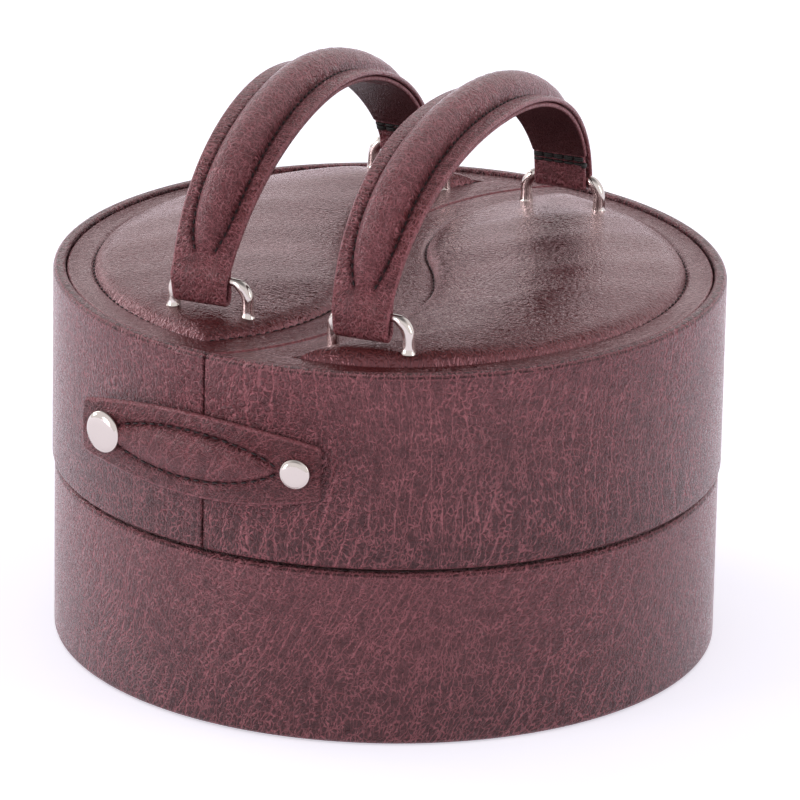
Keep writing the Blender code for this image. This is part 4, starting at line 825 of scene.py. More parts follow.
# Padded tops: on each half a smooth, glossier hide is stretched over a crowned foam cushion, stitched down
# round it, and glued flat over the board as a border that turns down at the S edge.
PANEL_RADIUS = S_END - 0.0003
PANEL_TOP = LID_TOP - 0.0010
PANEL_EDGE = 0.0009
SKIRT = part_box("right_top_board")[0].z
BORDER_RING = 0.0089
BORDER_S = 0.0130
PILLOW_RADIUS = S_END - 0.0004 - BORDER_RING
CROWN = 0.0080
CROWN_REACH = 0.0550
CROWN_POWER = 2.0
SHOULDER = 0.0027
STITCH_SINK, GROOVE = 0.0006, 0.0009
FRONT_MIDDLE, FRONT_SPREAD = radians(-56), 0.42
FRONT_REACH = 0.0027
FRONT_LIFT = 0.0014
FOOT_PRESS, FOOT_SPREAD = 0.0006, 0.0050
ACROSS = 110
PANEL_TONES = ((0.066, 0.0150, 0.0140), (0.080, 0.0170, 0.0145), (0.150, 0.046, 0.043))
CUSHION_EDGE, CUSHION_RIM = outline(PILLOW_RADIUS, SEAM_HALF + BORDER_S)


def front_share(x, y):
    """Bell over the angle round the box, 1 beside the right handle's front feet."""
    return bell(np.arctan2(y, x) - FRONT_MIDDLE, FRONT_SPREAD)


def drawn_out(x, y):
    """How far the outer arc bulges there: the bell, brought to 0 at the cushion's front tip."""
    from_tip = np.arctan2(y, x) - np.arctan2(*CUSHION_RIM[0, ::-1])
    return FRONT_REACH * front_share(x, y) * (1 - bell(from_tip, 0.11))


def cushion_outline():
    """The stitched S edge and outer arc, which runs nearer to the rim beside the front feet."""
    bulge = drawn_out(CUSHION_RIM[:, 0], CUSHION_RIM[:, 1])
    return CUSHION_EDGE, CUSHION_RIM * (1 + bulge / PILLOW_RADIUS)[:, None]


def cushion_depth(x, y):
    """Rounded distance inside the stitched outline, from its S edge and its outer arc."""
    front = S_X * y - S_Y * x < 0
    from_curve = np.where(front, np.hypot(x + S_X, y + S_Y) - S_RADIUS, S_RADIUS - np.hypot(x - S_X, y - S_Y))
    from_s = np.maximum(from_curve - BORDER_S, 1e-7)
    from_rim = np.maximum(PILLOW_RADIUS + drawn_out(x, y) - np.hypot(x, y), 1e-7)
    return (from_s ** -3 + from_rim ** -3) ** (-1 / 3)


def placed_feet():
    """Where the four legs of the right handle's loops stand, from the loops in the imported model."""
    feet = []
    for node in ("right_front_loop", "right_rear_loop"):
        low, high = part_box(node)
        middle = (low + high) / 2
        for reach in (-LOOP_HALF, LOOP_HALF):
            feet.append((middle.x + reach * cos(HANDLE_TILT), middle.y + reach * sin(HANDLE_TILT)))
    return np.array(feet)


LOOP_HALF = 0.01325
HANDLE_TILT = radians(8.8)
FEET = placed_feet()


def top_height(x, y):
    """Crowned cushion with a full shoulder just inside the stitching, pressed in round the loops' feet."""
    depth = cushion_depth(x, y)
    share = np.minimum(depth / CROWN_REACH, 1)
    crown = (CROWN - SHOULDER) * (1 - (1 - share) ** CROWN_POWER)
    full = SHOULDER * (1 - np.exp(-(depth / 0.0022) ** 1.2))
    lift = FRONT_LIFT * front_share(x, y) * (1 - np.exp(-(depth / 0.0020) ** 1.4)) * bell(depth, 0.009)
    sunk = STITCH_SINK * bell(depth, GROOVE)
    away_from_feet = np.min(np.hypot(x[..., None] - FEET[:, 0], y[..., None] - FEET[:, 1]), -1)
    pressed = FOOT_PRESS * bell(away_from_feet, FOOT_SPREAD)
    swell = 0.00020 * (np.sin(x * 95 + 1.3) * np.sin(y * 71 + 0.4) + 0.6 * np.sin(x * 190 - y * 150))
    around = np.arctan2(y, x) * PILLOW_RADIUS
    tucks = 0.00007 * np.sin(around * 1250 + 2.5 * np.sin(around * 310)) * np.sin(around * 95) ** 2
    tucks = tucks * bell(depth - 0.0022, 0.0016)
    return PANEL_TOP + crown + full + lift - sunk - pressed + swell * np.minimum(depth / 0.01, 1) + tucks


def pillow_grid():
    """The cushion's top, in lines drawn across from the S edge to the outer arc."""
    edge, rim = cushion_outline()
    share = (1 - np.cos(np.linspace(0, pi, ACROSS))) / 2
    plan = edge[None] * (1 - share)[:, None, None] + rim[None] * share[:, None, None]
    return raised(plan, top_height(plan[..., 0], plan[..., 1])), plan


def border_grids():
    """Flat border from the stitching to the groove at the rim or the S edge, then down over the board's edge."""
    grids = []
    inner = cushion_outline()
    outer = outline(PANEL_RADIUS - PANEL_EDGE, SEAM_HALF + PANEL_EDGE)
    share = (1 - np.cos(np.linspace(0, pi, 22))) / 2
    for inside, outside in zip(inner, outer):
        plan = inside[None] * (1 - share)[:, None, None] + outside[None] * share[:, None, None]
        depth = np.linalg.norm(plan - inside[None], axis=-1)
        rise = 0.00035 * np.sin(pi * np.minimum(share * 1.15, 1)) ** 0.7
        height = PANEL_TOP + rise[:, None] - STITCH_SINK * bell(depth, GROOVE)
        grids.append((raised(plan, height), plan))
    edge_rows = []
    for turn_down in np.radians(np.linspace(0, 90, 7)):
        drawn = PANEL_EDGE * (1 - np.sin(turn_down))
        height = PANEL_TOP - PANEL_EDGE * (1 - np.cos(turn_down))
        edge_rows.append([raised(row, height) for row in outline(PANEL_RADIUS - drawn, SEAM_HALF + drawn)])
    edge_rows.append([raised(row, SKIRT) for row in outline(PANEL_RADIUS, SEAM_HALF)])
    for index in range(2):
        points = np.array([rows[index] for rows in edge_rows])
        drop = PANEL_TOP - points[..., 2]
        flat = points[..., :2] + np.stack([drop, drop * 0], -1)
        # The turned edge gets a painted highlight.
        grids.append((points, flat, np.exp(-(drop / 0.0012)) * (drop > 1e-6) * 0.55))
    return grids


PANEL_HIDE = leather("padded_top_hide", radians(58), 0.4, 0.9, PANEL_TONES, (0.12, 0.19), 0.30, 0.60,
                     gloss=0.76, density=1.6, glaze_tint=(1.0, 0.76, 0.80))
for side, sign in SIDES:
    grids = [about(grid, sign) for grid in [pillow_grid(), *border_grids()]]
    top = mesh_piece(side + "_padded_top", grids, PANEL_HIDE, BODY[side], "smooth_burgundy_leather",
                     side + "_padded_panel", side + "_foam_pad")
    backing = top.modifiers.new("hide thickness", "SOLIDIFY")
    backing.thickness = 0.0003
    backing.offset = -1

# Stitching round the cushions: dark waxed thread, laid in the groove where the top hide is sewn down to the
# board through the edge of the foam.
THREAD_TONE = (0.014, 0.006, 0.008)
PANEL_STITCH = 0.0033
THREAD, SEWING_THREAD = 0.00022, 0.00030


def waxed_thread(name, tone):
    """Twisted thread: slanting ridges along the piece's flat map."""
    made, tree, shader = plain_look(name, tone, 0.55)
    flat = add_node(tree, "ShaderNodeUVMap", uv_map="hide")
    twist = add_node(tree, "ShaderNodeTexWave", {"Vector": flat.outputs["UV"], "Scale": 900.0, "Distortion": 1.0},
                     bands_direction="DIAGONAL")
    raised_by(tree, shader, twist.outputs["Fac"], 0.6, 0.0001)
    return made


THREAD_LOOK = waxed_thread("waxed_thread", THREAD_TONE)


def stitches(name, line, outward, pitch, body, slot="burgundy_leather", length=0.66, thick=SEWING_THREAD,
             look=THREAD_LOOK):
    """A row of short stitches laid end to end along a line: each is a rounded rod whose middle rises. Length is
    a share of the pitch."""
    run = run_length(line)
    count = int(run[-1] / pitch)
    middles = (np.arange(count) + 0.5) * run[-1] / count
    around = np.linspace(0, 2 * pi, 7)
    share = np.linspace(-1, 1, 7)
    width = thick * np.sqrt(np.maximum(1 - share ** 4, 0))
    at = middles[:, None] + share * pitch * length / 2
    centre = np.stack([np.interp(at, run, line[:, axis]) for axis in range(3)], -1)
    out = np.stack([np.interp(at, run, outward[:, axis]) for axis in range(3)], -1)
    out /= np.linalg.norm(out, axis=-1, keepdims=True)
    side = np.cross(headings(centre, 1), out)
    lift = thick * (0.9 - 0.9 * share ** 2)
    points = (centre + out * lift[:, None])[:, :, None]
    points = points + width[None, :, None, None] * (side[:, :, None] * np.cos(around)[:, None]
                                                    + out[:, :, None] * np.sin(around)[:, None])
    flat = flat_map(around * thick, share[:, None] * pitch * length / 2)
    return mesh_piece(name, [(rod, flat) for rod in points], look, body, slot, crisp=80)


def seam_line():
    """The cushion's stitched outline, as one closed line with the top's height."""
    edge, rim = cushion_outline()
    plan = np.concatenate([edge, rim[::-1][1:]])
    return raised(plan, top_height(plan[:, 0], plan[:, 1]))


for side, sign in SIDES:
    line = seam_line() * (sign, sign, 1)
    up = np.broadcast_to((0.0, 0.0, 1.0), line.shape)
    stitches(side + "_top_stitching", line, up, PANEL_STITCH, BODY[side], "smooth_burgundy_leather", 0.62, THREAD)

# Handles: each is a strap of the same hide over a round padded core, stitched down both sides of it. The ends
# narrow, fold round the loop's bar and come back up inside, where they are sewn down.
BAR_RADIUS = 0.0013
POCKET = BAR_RADIUS + 0.0003
STRAP_LEAF = 0.0016
HANDLE_OFFSET = 0.0308
loop_low, loop_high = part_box("right_front_loop")
BAR_LEVEL = loop_high.z - BAR_RADIUS
HANDLE_SPAN = 2 * abs(((loop_low + loop_high) / 2).y * cos(HANDLE_TILT)
                      - ((loop_low + loop_high) / 2).x * sin(HANDLE_TILT) + HANDLE_OFFSET * sin(HANDLE_TILT))
FOLD_CENTRE = BAR_LEVEL - 0.0091 + STRAP_LEAF + POCKET
REAR_FOLD_CENTRE = BAR_LEVEL - 0.0014
RETURN_TOP = FOLD_CENTRE + 0.0150
ARCH_FOOT = PANEL_TOP + 0.0023
ARCH_REACH = HANDLE_SPAN / 2 + 0.0030
END_WIDTH, MID_WIDTH = 0.0187, 0.0290
CORE_TIP = 0.0185
CORE_HALF, CORE_TIP_HALF = 0.0073, 0.0024
HANDLE_STITCH = 0.0029
SHAPES = {"right": {"rise": 0.0570, "power": 2.14, "lean": -0.0121, "core": 0.0071, "slide": -0.0026},
          "left": {"rise": 0.0565, "power": 1.86, "lean": -0.0480, "core": 0.0060, "slide": -0.0028}}


def handle_route(rise, power):
    """Inner face of the strap from the front's folded end to the rear's: a flattened ellipse for the arch, and
    at each end a straight drop, a half turn under the bar and a short way back up."""
    angle = np.linspace(0, pi, 241)
    arch = np.stack([-ARCH_REACH * np.abs(np.cos(angle)) ** (2 / power) * np.sign(np.cos(angle)),
                     ARCH_FOOT + rise * np.abs(np.sin(angle)) ** (2 / power)], 1)
    arch = arch[arch[:, 1] > BAR_LEVEL + 2 * POCKET]
    inside = ARCH_REACH * (1 - ((RETURN_TOP - ARCH_FOOT) / rise) ** power) ** (1 / power)
    bar = -HANDLE_SPAN / 2
    back_up = [(0.0006 - inside, RETURN_TOP), (bar + POCKET, BAR_LEVEL + POCKET)]
    front, rear = (np.concatenate([back_up, bend((bar, centre), POCKET, 0, -180, 15),
                                   [(bar - POCKET, BAR_LEVEL + POCKET / 2)]])
                   for centre in (FOLD_CENTRE, REAR_FOLD_CENTRE))
    line = evenly(np.concatenate([front, arch, rear[::-1] * (-1, 1)]), 340)
    soft = line.copy()
    for _ in range(3):
        soft[1:-1] = (soft[:-2] + 2 * soft[1:-1] + soft[2:]) / 4
    return soft


def handle_frames(side):
    """Points of the route, their outward normals, the distance along, and the share of the arch at each."""
    shape = SHAPES[side]
    line = handle_route(shape["rise"], shape["power"])
    ahead = headings(line)
    normal = np.stack([-ahead[:, 1], ahead[:, 0]], 1)
    run = run_length(line)
    low = np.argmin(line[:170, 1]), 170 + np.argmin(line[170:, 1])
    share = np.clip((run - run[low[0]]) / (run[low[1]] - run[low[0]]), 0, 1)
    return line, normal, run, share


def tilted(sign, across, along, *height):
    """Places across and along a handle, which stands off the middle and is turned a little."""
    return np.stack([sign * HANDLE_OFFSET + across * cos(HANDLE_TILT) - along * sin(HANDLE_TILT),
                     across * sin(HANDLE_TILT) + along * cos(HANDLE_TILT), *height], -1)


def handle_points(side, line, normal, share, across, out):
    """Places in the box's frame of points that lie across and out from the route's inner face."""
    shape = SHAPES[side]
    slide = shape["slide"] * np.clip(1 - share * 1.25, 0, 1) ** 0.8
    above = np.maximum(line[:, 1] - ARCH_FOOT, 0) * shape["lean"]
    across = across + (slide + above)[:, None]
    along = line[:, :1] + normal[:, :1] * out
    height = line[:, 1:] + normal[:, 1:] * out
    return tilted(dict(SIDES)[side], across, along, height)


def strap_half(share):
    """Half the strap's width, widest at the top of the arch."""
    return (END_WIDTH + (MID_WIDTH - END_WIDTH) * np.sin(pi * share) ** 0.9) / 2


def core_shape(side, line, run, share):
    """How far each station lies past the core's nearer tip, the core's half width there and its height."""
    on_arch = (share > 0.001) & (share < 0.999) & (line[:, 1] > ARCH_FOOT + CORE_TIP)
    inside = np.where(on_arch)[0]
    start, stop = run[inside[0]], run[inside[-1]]
    past = np.clip(np.minimum(run - start, stop - run), 0, None)
    half = CORE_TIP_HALF + (CORE_HALF - CORE_TIP_HALF) * (1 - np.exp(-past / 0.0095))
    return past, half, SHAPES[side]["core"] * (1 - np.exp(-past / 0.0075))


def strap_section(half, radius, face, upper, wear_and_painted_light, edge_wear_and_highlight, turns, under):
    """A strap's closed section as distances across and out: its worked outer face, a half round edge, the flat
    inner face, the other edge, and back to the start. With them comes how much each point is paled or darkened:
    the edges by the value given, for wear and painted highlight, and the face as it is given."""
    turn = np.linspace(0, pi, turns)[1:-1]
    side = half - radius + radius * np.sin(turn)
    edge = radius + radius * np.cos(turn) + 0 * half
    inner = np.zeros((len(half), under))
    across = [face, side, np.linspace(1, -1, under)[None] * (half - radius), -side, face[:, :1]]
    out = [upper, edge, inner, edge[:, ::-1], upper[:, :1]]
    wear_and_painted_light = [wear_and_painted_light, edge_wear_and_highlight + 0 * edge, inner, edge_wear_and_highlight + 0 * edge, 0 * half]
    return (np.concatenate(parts, 1) for parts in (across, out, wear_and_painted_light))


def handle_section(side):
    """Rounded slab of the strap: the core's dome on its outer face, a sunk valley each side of it where it is
    sewn, a slightly full flange out to each folded edge, and a flat inner face."""
    line, normal, run, share = handle_frames(side)
    past, core, height = core_shape(side, line, run, share)
    half = strap_half(share)[:, None]
    core, height = core[:, None], height[:, None]
    radius = STRAP_LEAF / 2
    top = np.linspace(-1, 1, 97)[None] * (half - radius)
    gap = np.abs(top) - core
    dome = height * np.maximum(1 - (top / core) ** 2, 0) ** 0.56
    seam = bell(gap - 0.0006, 0.0007) * np.minimum(past / 0.001, 1)[:, None]
    pull = 0.5 + 0.5 * np.cos(2 * pi * run / HANDLE_STITCH)[:, None]
    flange = 0.00035 * np.sin(pi * np.clip(gap / np.maximum(half - core, 1e-4), 0, 1)) * (height > 0)
    station = run[:, None]
    creep = 0.00004 * np.sin(station * 640 + 2.6 * np.sin(station * 173) + 3 * np.sin(top * 240 + 1.0))
    creep = (creep + 0.00003 * np.sin(station * 1190 + 3 * np.sin(top * 330 - station * 90))) * (gap < 0)
    upper = STRAP_LEAF + dome + flange + creep - seam * (0.00045 + 0.00020 * pull)
    # Paler over the dome's top. The sewn valleys beside the core get painted shade, and the edges a painted highlight
    # with their wear.
    rub_and_light_marks = 0.22 * np.minimum(dome / 0.006, 1) - 0.60 * seam
    across, out, wear_and_painted_light = strap_section(half, radius, top, upper, rub_and_light_marks, 0.75, 9, 13)
    points = handle_points(side, line, normal, share, across, out)
    lap = run_length(np.stack([across[170], out[170]], 1))
    return points, flat_map(lap[None], run[:, None]), wear_and_painted_light


HANDLE_TONES = ((0.172, 0.0600, 0.0660), (0.224, 0.0720, 0.0740), (0.500, 0.225, 0.245))
HANDLE_HIDE = leather("handle_hide", radians(84), 0.85, 1.25, HANDLE_TONES, (0.28, 0.38), 0.75, 0.85)
for side, sign in SIDES:
    strap = mesh_piece(side + "_handle_strap", [handle_section(side)], HANDLE_HIDE, BODY[side], "burgundy_leather",
                       side + "_handle", ends=True)

# Handle stitching: a row of dark thread down each side of the core, meeting at its tips, and a band of black
# thread where the folded ends are sewn down inside, with a knot beside each rear end.
END_TURNS, END_STEP, END_PITCH = 3, 0.0009, 0.0031
END_STRAND, KNOT_STRAND, KNOT_PITCH = 0.00055, 0.00110, 0.0020
END_STATIONS, END_POINTS = 60, 24
END_THREAD = waxed_thread("black_thread", (0.009, 0.0065, 0.0065))


def core_seam(side, way):
    """The sewn valley on one side of the core, from tip to tip, and the outward directions along it."""
    line, normal, run, share = handle_frames(side)
    past, core = core_shape(side, line, run, share)[:2]
    keep = past > 0
    across = (way * (core + 0.0006))[:, None]
    low = handle_points(side, line, normal, share, across, np.full((len(run), 1), STRAP_LEAF - 0.00040))
    high = handle_points(side, line, normal, share, across, np.full((len(run), 1), STRAP_LEAF))
    return low[keep, 0], (high - low)[keep, 0]


def end_seam(side, level, rear):
    """A short line across the folded end inside the handle, on the face that looks into the arch."""
    line, normal, _, share = handle_frames(side)
    part = slice(-END_STATIONS, None) if rear else slice(0, END_STATIONS)
    station = np.argmin(np.abs(line[part, 1] - level) + 10 * (np.abs(share[part] - (1 if rear else 0)) > 0.01))
    station += len(line) - END_STATIONS if rear else 0
    across = np.linspace(-1, 1, END_POINTS) * (END_WIDTH / 2 - 0.0002)
    place = [np.repeat(part[station:station + 1], END_POINTS, 0) for part in (line, normal, share)]
    low, high = (handle_points(side, *place, across[:, None], np.full((END_POINTS, 1), STRAP_LEAF + lift))[:, 0]
                 for lift in (0.0, 0.001))
    return low, high - low


for side, sign in SIDES:
    for number, way in enumerate((-1, 1), 1):
        stitches(f"{side}_handle_stitching_{number}", *core_seam(side, way), HANDLE_STITCH, BODY[side])
    for place, rear in (("front", False), ("rear", True)):
        for number in range(END_TURNS):
            line, outward = end_seam(side, RETURN_TOP - 0.0008 - END_STEP * number, rear)
            stitches(f"{side}_{place}_end_thread_{number + 1}", line, outward, END_PITCH, BODY[side], length=1.35,
                     thick=END_STRAND, look=END_THREAD)
    beside = line[-4:] + (line[-1] - line[-3]) * 0.9
    stitches(f"{side}_rear_end_knot", beside, outward[-4:], KNOT_PITCH, BODY[side], length=1.0, thick=KNOT_STRAND,
             look=END_THREAD)

# Handle linings: a dark, thin hide glued under each arch between the folded ends. It is longer than the curve
# it fills, so it wrinkles.
LINING_LEAF = 0.0016
LINING_TONES = ((0.090, 0.0350, 0.0380), (0.112, 0.040, 0.041), (0.205, 0.105, 0.108))
LINING_HIDE = leather("handle_lining_hide", radians(80), 0.7, 1.0, LINING_TONES, (0.42, 0.55), 0.5, 0.35,
                      gloss=0.22, glaze=0.4)
# Each wrinkle: how far along, how it skews, how wide it is, its middle across, and its height in millimetres.
WRINKLES = ((0.066, 0.55, 0.0011, 0.002, 0.55), (0.078, 0.75, 0.0009, -0.002, 0.45),
            (0.092, 0.60, 0.0013, 0.004, 0.70), (0.104, 0.35, 0.0010, 0.0, 0.55),
            (0.119, 0.20, 0.0014, -0.003, 0.60), (0.133, 0.1, 0.0011, 0.002, 0.50),
            (0.050, -0.4, 0.0012, 0.0, 0.35), (0.030, 0.3, 0.0012, 0.0, 0.3))


def lining_section(side):
    """Flat strip under the arch: its lower face carries skewed ridges, strongest towards the rear."""
    line, normal, run, share = handle_frames(side)
    keep = (line[:, 1] > RETURN_TOP + 0.0006) & (share > 0) & (share < 1)
    line, normal, run, share = line[keep], normal[keep], run[keep], share[keep]
    half = strap_half(share)[:, None] - 0.0007
    turn = np.linspace(0, pi, 7)[1:-1]
    radius = LINING_LEAF / 2
    top = np.linspace(-1, 1, 9)[None] * (half - radius)
    under = np.linspace(1, -1, 61)[None] * (half - radius)
    start = run[:, None] - run[0]
    ridges = 0.0 * under
    for where, slope, width, middle, tall in WRINKLES:
        crest = bell(start - where - slope * under, width)
        ridges += tall * 0.001 * crest * bell(under - middle, 0.009)
    rub_and_light_marks = np.minimum(ridges / 0.0006, 1) * 0.5
    ridges += 0.00003 * np.sin(start * 1500 + 4 * np.sin(under * 350))
    across = [top, half - radius + radius * np.sin(turn), under, -(half - radius) - radius * np.sin(turn),
              top[:, :1]]
    edge = -radius + radius * np.cos(turn) + 0 * half
    out = [0 * top, edge, -LINING_LEAF - ridges, edge[:, ::-1], 0 * top[:, :1]]
    wear_and_painted_light = [0 * top, 0.9 + 0 * edge, rub_and_light_marks, 0.9 + 0 * edge, 0 * top[:, :1]]
    across, out, wear_and_painted_light = (np.concatenate(parts, 1) for parts in (across, out, wear_and_painted_light))
    points = handle_points(side, line, normal, share, across, out - 0.0003)
    middle = len(across) // 2
    lap = run_length(np.stack([across[middle], out[middle]], 1))
    return points, flat_map(lap[None], run[:, None]), wear_and_painted_light


for side, sign in SIDES:
    mesh_piece(side + "_handle_lining_strip", [lining_section(side)], LINING_HIDE, BODY[side], "dark_leather",
               side + "_handle_lining", ends=True)

# Loops: bent wire of polished nickel, thicker towards the feet, which are pushed through the top hide and
# riveted to plates under the board.
NICKEL_TONE = (0.650, 0.575, 0.550)
FOOT_RADIUS = 0.0019
COLLAR_RADIUS = 0.0026
LOOP_BEND = 0.0060
NICKEL = metal("polished_nickel", NICKEL_TONE, 0.06, 0.16)


def loop_grid(sign, along):
    """A round wire carried up one leg, over the bar and down the other: its radius swells down each leg and
    spreads into a low foot that sinks into the hide."""
    bend_level = BAR_LEVEL - LOOP_BEND
    feet = np.array([[way * LOOP_HALF, along] for way in (-1, 1)])
    plan = tilted(sign, feet[:, 0], feet[:, 1]) * sign
    floor = top_height(plan[:, 0], plan[:, 1]) - 0.0006
    left_leg = np.stack([np.full(22, -LOOP_HALF), np.linspace(floor[0], bend_level, 22)], 1)
    right_leg = np.stack([np.full(22, LOOP_HALF), np.linspace(bend_level, floor[1], 22)], 1)
    left_bend = bend((-LOOP_HALF + LOOP_BEND, bend_level), LOOP_BEND, 180, 90, 12)
    right_bend = bend((LOOP_HALF - LOOP_BEND, bend_level), LOOP_BEND, 90, 0, 12)
    line = np.concatenate([left_leg, left_bend[1:], right_bend, right_leg[1:]])
    base = np.where(line[:, 0] < 0, floor[0], floor[1])
    above = line[:, 1] - base
    clear = np.clip((np.abs(line[:, 0]) - END_WIDTH / 2 + 0.0012) / 0.0030, 0, 1)
    radius = BAR_RADIUS + (FOOT_RADIUS - BAR_RADIUS) * (3 - 2 * clear) * clear ** 2
    radius += (COLLAR_RADIUS - FOOT_RADIUS) * np.exp(-above / 0.0011)
    ahead = headings(line)
    angle = np.linspace(0, 2 * pi, 25)
    out_cos, out_sin = (np.sign(part) * np.abs(part) ** 0.82 for part in (np.cos(angle), np.sin(angle)))
    across = line[:, :1] - ahead[:, 1:] * radius[:, None] * out_cos
    height = line[:, 1:] + ahead[:, :1] * radius[:, None] * out_cos
    depth = along + radius[:, None] * out_sin
    return tilted(sign, across, depth, height), flat_map(angle * BAR_RADIUS, run_length(line)[:, None])


for side, sign in SIDES:
    for place, along in (("front", -HANDLE_SPAN / 2), ("rear", HANDLE_SPAN / 2)):
        mesh_piece(f"{side}_{place}_wire_loop", [loop_grid(sign, along)], NICKEL, BODY[side], "polished_nickel",
                   f"{side}_{place}_loop", ends=True)
    dressed(NICKEL, side + "_front_loop_plate", side + "_rear_loop_plate")

# Hinge: nickel leaves riveted to the back of the lower drum and of each half. The halves' knuckles take turns
# on one pin that stands in the base leaf's long knuckle, and headed over at both ends.
HINGE_Y = LID_RADIUS + 0.0040
LEAF = 0.0012
PIN_RADIUS, PIN_HEAD, KNUCKLE = 0.0015, 0.00276, 0.0033
RIVET_OFFSET = 0.0130
RIVET_SHANK, RIVET_HEAD, RIVET_DOME = 0.0012, 0.0022, 0.0011
UPPER_RIVETS = (0.15, 0.85)


def softened(points, times=3):
    """A line of points with its corners cut by quarters, its ends kept."""
    line = np.array(points, float)
    for _ in range(times):
        cut = np.stack([line[:-1] * 0.75 + line[1:] * 0.25, line[:-1] * 0.25 + line[1:] * 0.75], 1).reshape(-1, 2)
        line = np.concatenate([line[:1], cut, line[-1:]])
    return line


def turned_grid(profile, origin, axis, count):
    """A profile of (radius, distance along the axis) turned about the axis."""
    axis = np.array(axis, float) / np.linalg.norm(axis)
    first = np.cross(axis, (0, 0, 1.0)) if abs(axis[2]) < 0.9 else np.array([1.0, 0, 0])
    first /= np.linalg.norm(first)
    second = np.cross(axis, first)
    angle = np.linspace(0, 2 * pi, count + 1)[:, None]
    radius, distance = profile[:, 0], profile[:, 1]
    spokes = np.cos(angle)[..., None] * first + np.sin(angle)[..., None] * second
    points = np.array(origin) + spokes * radius[None, :, None] + axis * distance[None, :, None]
    return points, flat_map(angle * 0.005, run_length(profile)[None])


def turned_piece(name, profile, seat, axis, body, node, count, crisp=40):
    """A nickel piece turned about the axis from its seat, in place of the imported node."""
    mesh_piece(name, [turned_grid(profile, seat, axis, count)], NICKEL, body, "polished_nickel", node, crisp=crisp)


for node, body in (("hinge_base_leaf", "base"), ("left_hinge_leaf", "left_half"),
                   ("right_hinge_leaf", "right_half")):
    eased(node, node.replace("leaf", "plate"), NICKEL, body, 0.0003)

base_leaf_low, base_leaf_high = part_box("hinge_base_leaf")
leaf_low, leaf_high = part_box("left_hinge_leaf")
pin_foot, pin_top = base_leaf_low.z - FIT, leaf_high.z + FIT
foot_head = softened([(0, pin_foot - 2 * LEAF), (PIN_HEAD * 0.75, pin_foot - 2 * LEAF),
                      (PIN_HEAD, pin_foot - LEAF), (PIN_HEAD, pin_foot), (PIN_RADIUS, pin_foot)])
collar_foot, collar_top = base_leaf_high.z + FIT, leaf_low.z - FIT
collar = [(PIN_RADIUS, collar_foot), (KNUCKLE, collar_foot), (KNUCKLE, collar_top), (PIN_RADIUS, collar_top)]
top_head = softened([(PIN_RADIUS, pin_top), (PIN_HEAD, pin_top), (PIN_HEAD, pin_top + LEAF),
                     (PIN_HEAD * 0.75, pin_top + 2 * LEAF), (0, pin_top + 2 * LEAF)])
turned_piece("hinge_pin_turned", np.concatenate([foot_head, collar, top_head]), (0, HINGE_Y, 0), (0, 0, 1), "base",
             "hinge_pin", 48)


def back_rivet(node, body, wall, sideways, level):
    """A domed head on the leaf, turned on the wall's outward direction, with its shank back through the wall."""
    angle = asin(sideways / wall)
    out = np.array([sin(angle), cos(angle), 0.0])
    seat = out * (wall + 2 * FIT + LEAF) + (0, 0, level)
    depth = np.linalg.norm(seat[:2]) - shank_end(node)
    dome = softened([(0, RIVET_DOME), (RIVET_HEAD * 0.55, RIVET_DOME * 0.92),
                     (RIVET_HEAD * 0.95, RIVET_DOME * 0.45), (RIVET_HEAD, 0), (RIVET_SHANK, 0)])
    profile = np.concatenate([dome, [(RIVET_SHANK, -depth), (0, -depth)]])
    turned_piece(node + "_turned", profile, seat, out, body, node, 32)


def shank_end(node):
    """How far from the box's middle the inner end of a rivet's shank lies."""
    low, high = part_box(node)
    return float(np.hypot((low.x + high.x) / 2, low.y))


for number, way in enumerate((-1, 1), 1):
    back_rivet(f"hinge_base_rivet_{number}", "base", BASE_RADIUS, way * RIVET_OFFSET,
               (base_leaf_low.z + base_leaf_high.z) / 2)
for side, sign in SIDES:
    for number, share in enumerate(UPPER_RIVETS, 1):
        back_rivet(f"{side}_hinge_rivet_{number}", BODY[side], LID_RADIUS, sign * RIVET_OFFSET,
                   leaf_low.z + (leaf_high.z - leaf_low.z) * share)

# Closure: one strap of hide, riveted to the right half and snapped to the left, with a pad of hide over foam
# sewn on its middle.
CLOSURE_HEIGHT = 0.0935
STRAP_BACK = LID_RADIUS + FIT
SWING_RADIUS = HINGE_Y + STRAP_BACK
CLOSURE_LEAF = 0.0022
LEFT_DEG, RIGHT_DEG, BEND_DEG = -24.0, 21.3, 14.2
STUD_DEG, RIVET_DEG = -19.3, 17.2
PAD_FROM, PAD_TO = -18.8, 14.1
PAD_HALF = 0.0079
PAD_RISE = 0.0026
CLOSURE_END, CLOSURE_MID = 0.0182, 0.0286
CLOSURE_CORNER = 0.0012
PAD_STITCH = 0.0035
BEND_HALF_DEG = 1.7


def strap_line(degrees_from_front):
    """Inner face of the strap: on the right half's wall, then on the circle that the left half swings in.
    Gives the points and their outward directions."""
    def place(angle):
        lean = HINGE_Y * np.cos(angle)
        radius = np.where(angle >= 0, STRAP_BACK, np.sqrt(lean ** 2 + SWING_RADIUS ** 2 - HINGE_Y ** 2) - lean)
        return np.stack([radius * np.sin(angle), -radius * np.cos(angle)], -1)
    angle = np.radians(degrees_from_front)
    along = place(angle + 0.009) - place(angle - 0.009)
    along /= np.linalg.norm(along, axis=-1, keepdims=True)
    return place(angle), np.stack([along[..., 1], -along[..., 0]], -1)


